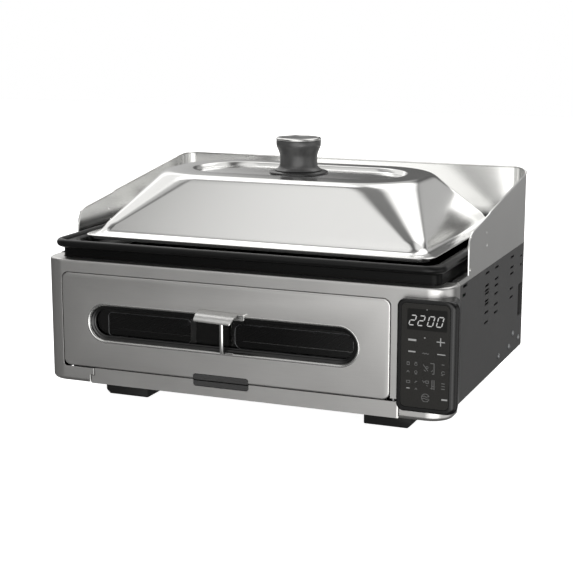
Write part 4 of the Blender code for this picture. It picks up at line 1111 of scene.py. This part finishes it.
def lid_knob():
    knob = extent("lid_knob")
    height = knob.z1 - knob.z0
    ring_z0, ring_z1 = extent("knob_ring")[4:]
    turned("knob_collar", "collar", "knob_flange", extent("knob_flange").z0,
           [(30.0, 0), (34.0, -0.9), (36.0, -1.1), (36.2, 0.5), (35.9, 1.1), (34.6, 1.7),
            (31.0, 2.3), (29.0, 2.55), (3.6, 2.6), (3.6, 0)])
    turned("knob_body", "knob", "lid_knob", knob.z0,
           [(3.6, 0), (28.6, 0), (28.9, 0.4), (27.4, 1.2), (25.6, 2.4), (24.2, 3.8), (23.3, 5.4),
            (22.9, 7.6), (22.8, 12.0), (22.9, 17.0), (23.3, 19.6), (24.2, 22.6), (25.4, 25.6),
            (26.4, 28.0), (27.0, 29.8), (27.25, 31.2), (27.3, height - 0.5), (27.0, height),
            (3.0, height), (3.0, height - 3.0), (3.6, height - 3.0)])
    turned("knob_bright_ring", "chrome", "knob_ring", ring_z0,
           [(24.2, 0), (27.0, 0), (27.5, 0.4), (27.6, 1.2), (27.3, 2.0), (26.7, 2.7),
            (25.9, 3.15), (25.2, ring_z1 - ring_z0), (24.6, 3.1), (24.2, 2.5)], angle=60)
    turned("knob_dish", "knob", "knob_cap", ring_z0,
           [(0.0, 0), (23.9, 0), (23.95, 2.1), (23.6, 2.35), (22.6, 2.3), (18.0, 1.85),
            (12.0, 1.35), (6.0, 1.05), (0.0, 0.95)], closed=False)


bezel()
guard()
side_panel("left_side_panel", -1)
side_panel("right_side_panel", 1)
pod()
deck()
for _corner in ("front_left", "front_right", "rear_left", "rear_right"):
    foot(_corner + "_foot")
for _i in range(4):
    screw_head(f"side_panel_screw_{_i + 1}")
elements()
door_skin()
window_rings()
window_pane()
door_liner()
tab_handle()
window_stay()
upper_pad()
tray_strip()
lower_pad()
tray_body()
rack()
pan()
lid_shell()
lid_knob()

# ================================================================== frame nodes still on show
NODE_FINISH = {"oven_liner": "cavity", "rear_panel": "side", "heat_reflector": "zinc",
               "left_rack_rail": "zinc", "right_rack_rail": "zinc", "lower_rail": "cavity",
               "power_inlet": "matte", "window_gasket": "rubber"}
SLOT_FINISH = {"stainless": "front", "lid_steel": "lid", "chrome": "chrome", "galvanised": "zinc",
               "panel_black": "side", "enamel_black": "enamel", "cavity_enamel": "cavity",
               "pan_black": "pan", "gloss_black": "pod", "matte_black": "matte",
               "gunmetal": "knob", "glass": "pane", "rubber": "rubber", "element": "element",
               "board": "board"}


def finish_frame_nodes():
    """Soft edges and a finish each."""
    slots = {part["node"]: part["material_slot"] for part in frame["record"].get("subparts", [])}
    for name, obj in frame["nodes"].items():
        if obj.hide_render:
            continue
        by_slot = SLOT_FINISH.get(slots.get(name, ""), "zinc")
        obj.data.materials.clear()
        obj.data.materials.append(FINISH[NODE_FINISH.get(name, by_slot)])
        obj.modifiers.new("weld", "WELD").merge_threshold = 0.01 * MM
        edge = obj.modifiers.new("edge", "BEVEL")
        edge.width = 0.25 * MM
        edge.segments = 2
        edge.limit_method = "ANGLE"
        edge.angle_limit = radians(50)


finish_frame_nodes()

# ================================================================== stage, light, camera (metres)
scene = bpy.context.scene
scene.view_settings.view_transform = "Standard"
scene.view_settings.look = "None"


def pale_floor():
    """Diffuse floor that also glows, to the camera only."""
    material, tree, shader = new_material("pale_floor")
    tree.nodes.remove(shader)
    diffuse = tree.nodes.new("ShaderNodeBsdfDiffuse")
    cloud = noise(tree, 3.0, detail=3.0)
    tree.links.new(tint(tree, grey(0.80), span(tree, cloud, 0.985, 1.015)),
                   diffuse.inputs["Color"])
    emission = tree.nodes.new("ShaderNodeEmission")
    path = tree.nodes.new("ShaderNodeLightPath")
    tree.links.new(calc(tree, "MULTIPLY", path.outputs["Is Camera Ray"], 0.93),
                   emission.inputs["Strength"])
    both = tree.nodes.new("ShaderNodeAddShader")
    tree.links.new(diffuse.outputs[0], both.inputs[0])
    tree.links.new(emission.outputs[0], both.inputs[1])
    tree.links.new(both.outputs[0], tree.nodes["Material Output"].inputs["Surface"])
    return material


def floor():
    shape = bmesh.new()
    bmesh.ops.create_grid(shape, x_segments=8, y_segments=8, size=4.0)
    mesh = bpy.data.meshes.new("floor")
    shape.to_mesh(mesh)
    shape.free()
    obj = linked("floor", mesh)
    obj.location = (0, 0, cad_lo.z - 0.0004)
    mesh.materials.append(pale_floor())
    obj.visible_glossy = False


# soft boxes: direction, full within and gone beyond these degrees, strength
SOFT_BOXES = [
    ((-0.12, -0.52, 0.84), 12, 30, 0.85),     # overhead, in front
    ((0.60, 0.16, 0.77), 14, 26, 0.80),       # overhead, right
    ((0.17, 0.60, 0.78), 14, 25, 1.45),       # overhead, behind, right
    ((-0.40, 0.28, 0.86), 10, 20, 1.45),      # overhead, behind, left
    ((-0.55, 0.02, 0.83), 6, 18, 0.45),       # overhead, left
    ((-0.10, 0.18, 0.98), 6, 22, 0.12),       # faint, almost straight overhead
    ((-0.64, 0.50, 0.58), 17, 32, 0.90),      # high, back left
    ((-0.30, 0.78, 0.55), 10, 20, 0.40),      # behind, half way up
    ((0.00, -0.90, 0.43), 12, 36, 0.45),      # front, raised
    ((0.25, -0.97, -0.06), 6, 39, 2.00),      # broad front fill, a little to the right
    ((0.66, -0.72, -0.22), 8, 24, 2.20),      # low, front right
    ((-0.90, -0.40, -0.15), 12, 42, 0.07),    # left, a little in front
    ((1.00, 0.05, -0.15), 10, 36, 0.90),      # right
    ((0.36, 0.91, 0.20), 8, 22, 0.36),        # back right
    ((0.20, 0.96, -0.22), 10, 28, 0.12),      # low, behind
    ((-0.60, 0.78, 0.18), 8, 19, 0.42),       # back left
]


def studio(base):
    """World: white to the camera; to all else a dim room of level base with the soft boxes."""
    studio_world = bpy.data.worlds.new("studio")
    scene.world = studio_world
    studio_world.use_nodes = True
    tree = studio_world.node_tree
    background = tree.nodes["Background"]
    source = tree.nodes.new("ShaderNodeTexCoord")
    total = None
    for direction, inner, outer, strength in SOFT_BOXES:
        dot = tree.nodes.new("ShaderNodeVectorMath")
        dot.operation = "DOT_PRODUCT"
        tree.links.new(source.outputs["Generated"], dot.inputs[0])
        dot.inputs[1].default_value = Vector(direction).normalized()
        fade = tree.nodes.new("ShaderNodeMapRange")
        fade.interpolation_type = "SMOOTHSTEP"
        fade.inputs["From Min"].default_value = cos(radians(outer))
        fade.inputs["From Max"].default_value = cos(radians(inner))
        fade.inputs["To Min"].default_value = 0.0
        fade.inputs["To Max"].default_value = strength
        tree.links.new(dot.outputs["Value"], fade.inputs["Value"])
        patch = fade.outputs["Result"]
        total = patch if total is None else calc(tree, "ADD", total, patch)
    total = calc(tree, "ADD", total, base)
    path = tree.nodes.new("ShaderNodeLightPath")
    mix = tree.nodes.new("ShaderNodeMix")
    mix.data_type = "RGBA"
    tree.links.new(path.outputs["Is Camera Ray"], mix.inputs["Factor"])
    # sockets 6 and 7 are the two colours, 2 the mixed one
    tree.links.new(tint(tree, (1.0, 0.995, 0.985), total), mix.inputs[6])
    mix.inputs[7].default_value = (1, 1, 1, 1)
    tree.links.new(mix.outputs[2], background.inputs["Color"])
    background.inputs["Strength"].default_value = 1.0


def area(name, location, size, power):
    """Rectangular light aimed at the griddle."""
    light = bpy.data.lights.new(name, "AREA")
    light.shape = "RECTANGLE"
    light.size, light.size_y = size
    light.energy = power
    obj = bpy.data.objects.new(name, light)
    obj.location = location
    obj.rotation_mode = "QUATERNION"
    aim = Vector((0, 0, 0.1)) - Vector(location)
    obj.rotation_quaternion = aim.to_track_quat("-Z", "Y")
    obj.visible_glossy = False
    scene.collection.objects.link(obj)


def camera(azimuth, elevation, place):
    """azimuth: degrees round to the right of the front; elevation: degrees looking down."""
    data = bpy.data.cameras.new("camera")
    data.sensor_width = 36.0
    data.lens = 88.92
    data.clip_start, data.clip_end = 0.05, 50.0
    obj = linked("camera", data)
    turned_by, tilt = radians(azimuth), radians(elevation)
    ahead = Vector((-sin(turned_by) * cos(tilt), cos(turned_by) * cos(tilt), -sin(tilt)))
    right = Vector((cos(turned_by), sin(turned_by), 0.0))
    rows = zip(right, right.cross(ahead), -ahead, place)
    obj.matrix_world = Matrix((*rows, (0, 0, 0, 1)))
    scene.camera = obj


floor()
studio(base=0.13)
area("key", location=(0.9, -1.4, 1.8), size=(1.4, 1.0), power=18.0)
area("fill", location=(-1.5, -0.8, 1.2), size=(1.2, 1.2), power=7.0)
area("side", location=(1.9, 0.4, 0.9), size=(1.0, 1.0), power=9.0)
camera(azimuth=22.3207, elevation=11.6534, place=world(644.33, -1416.16, 452.63))
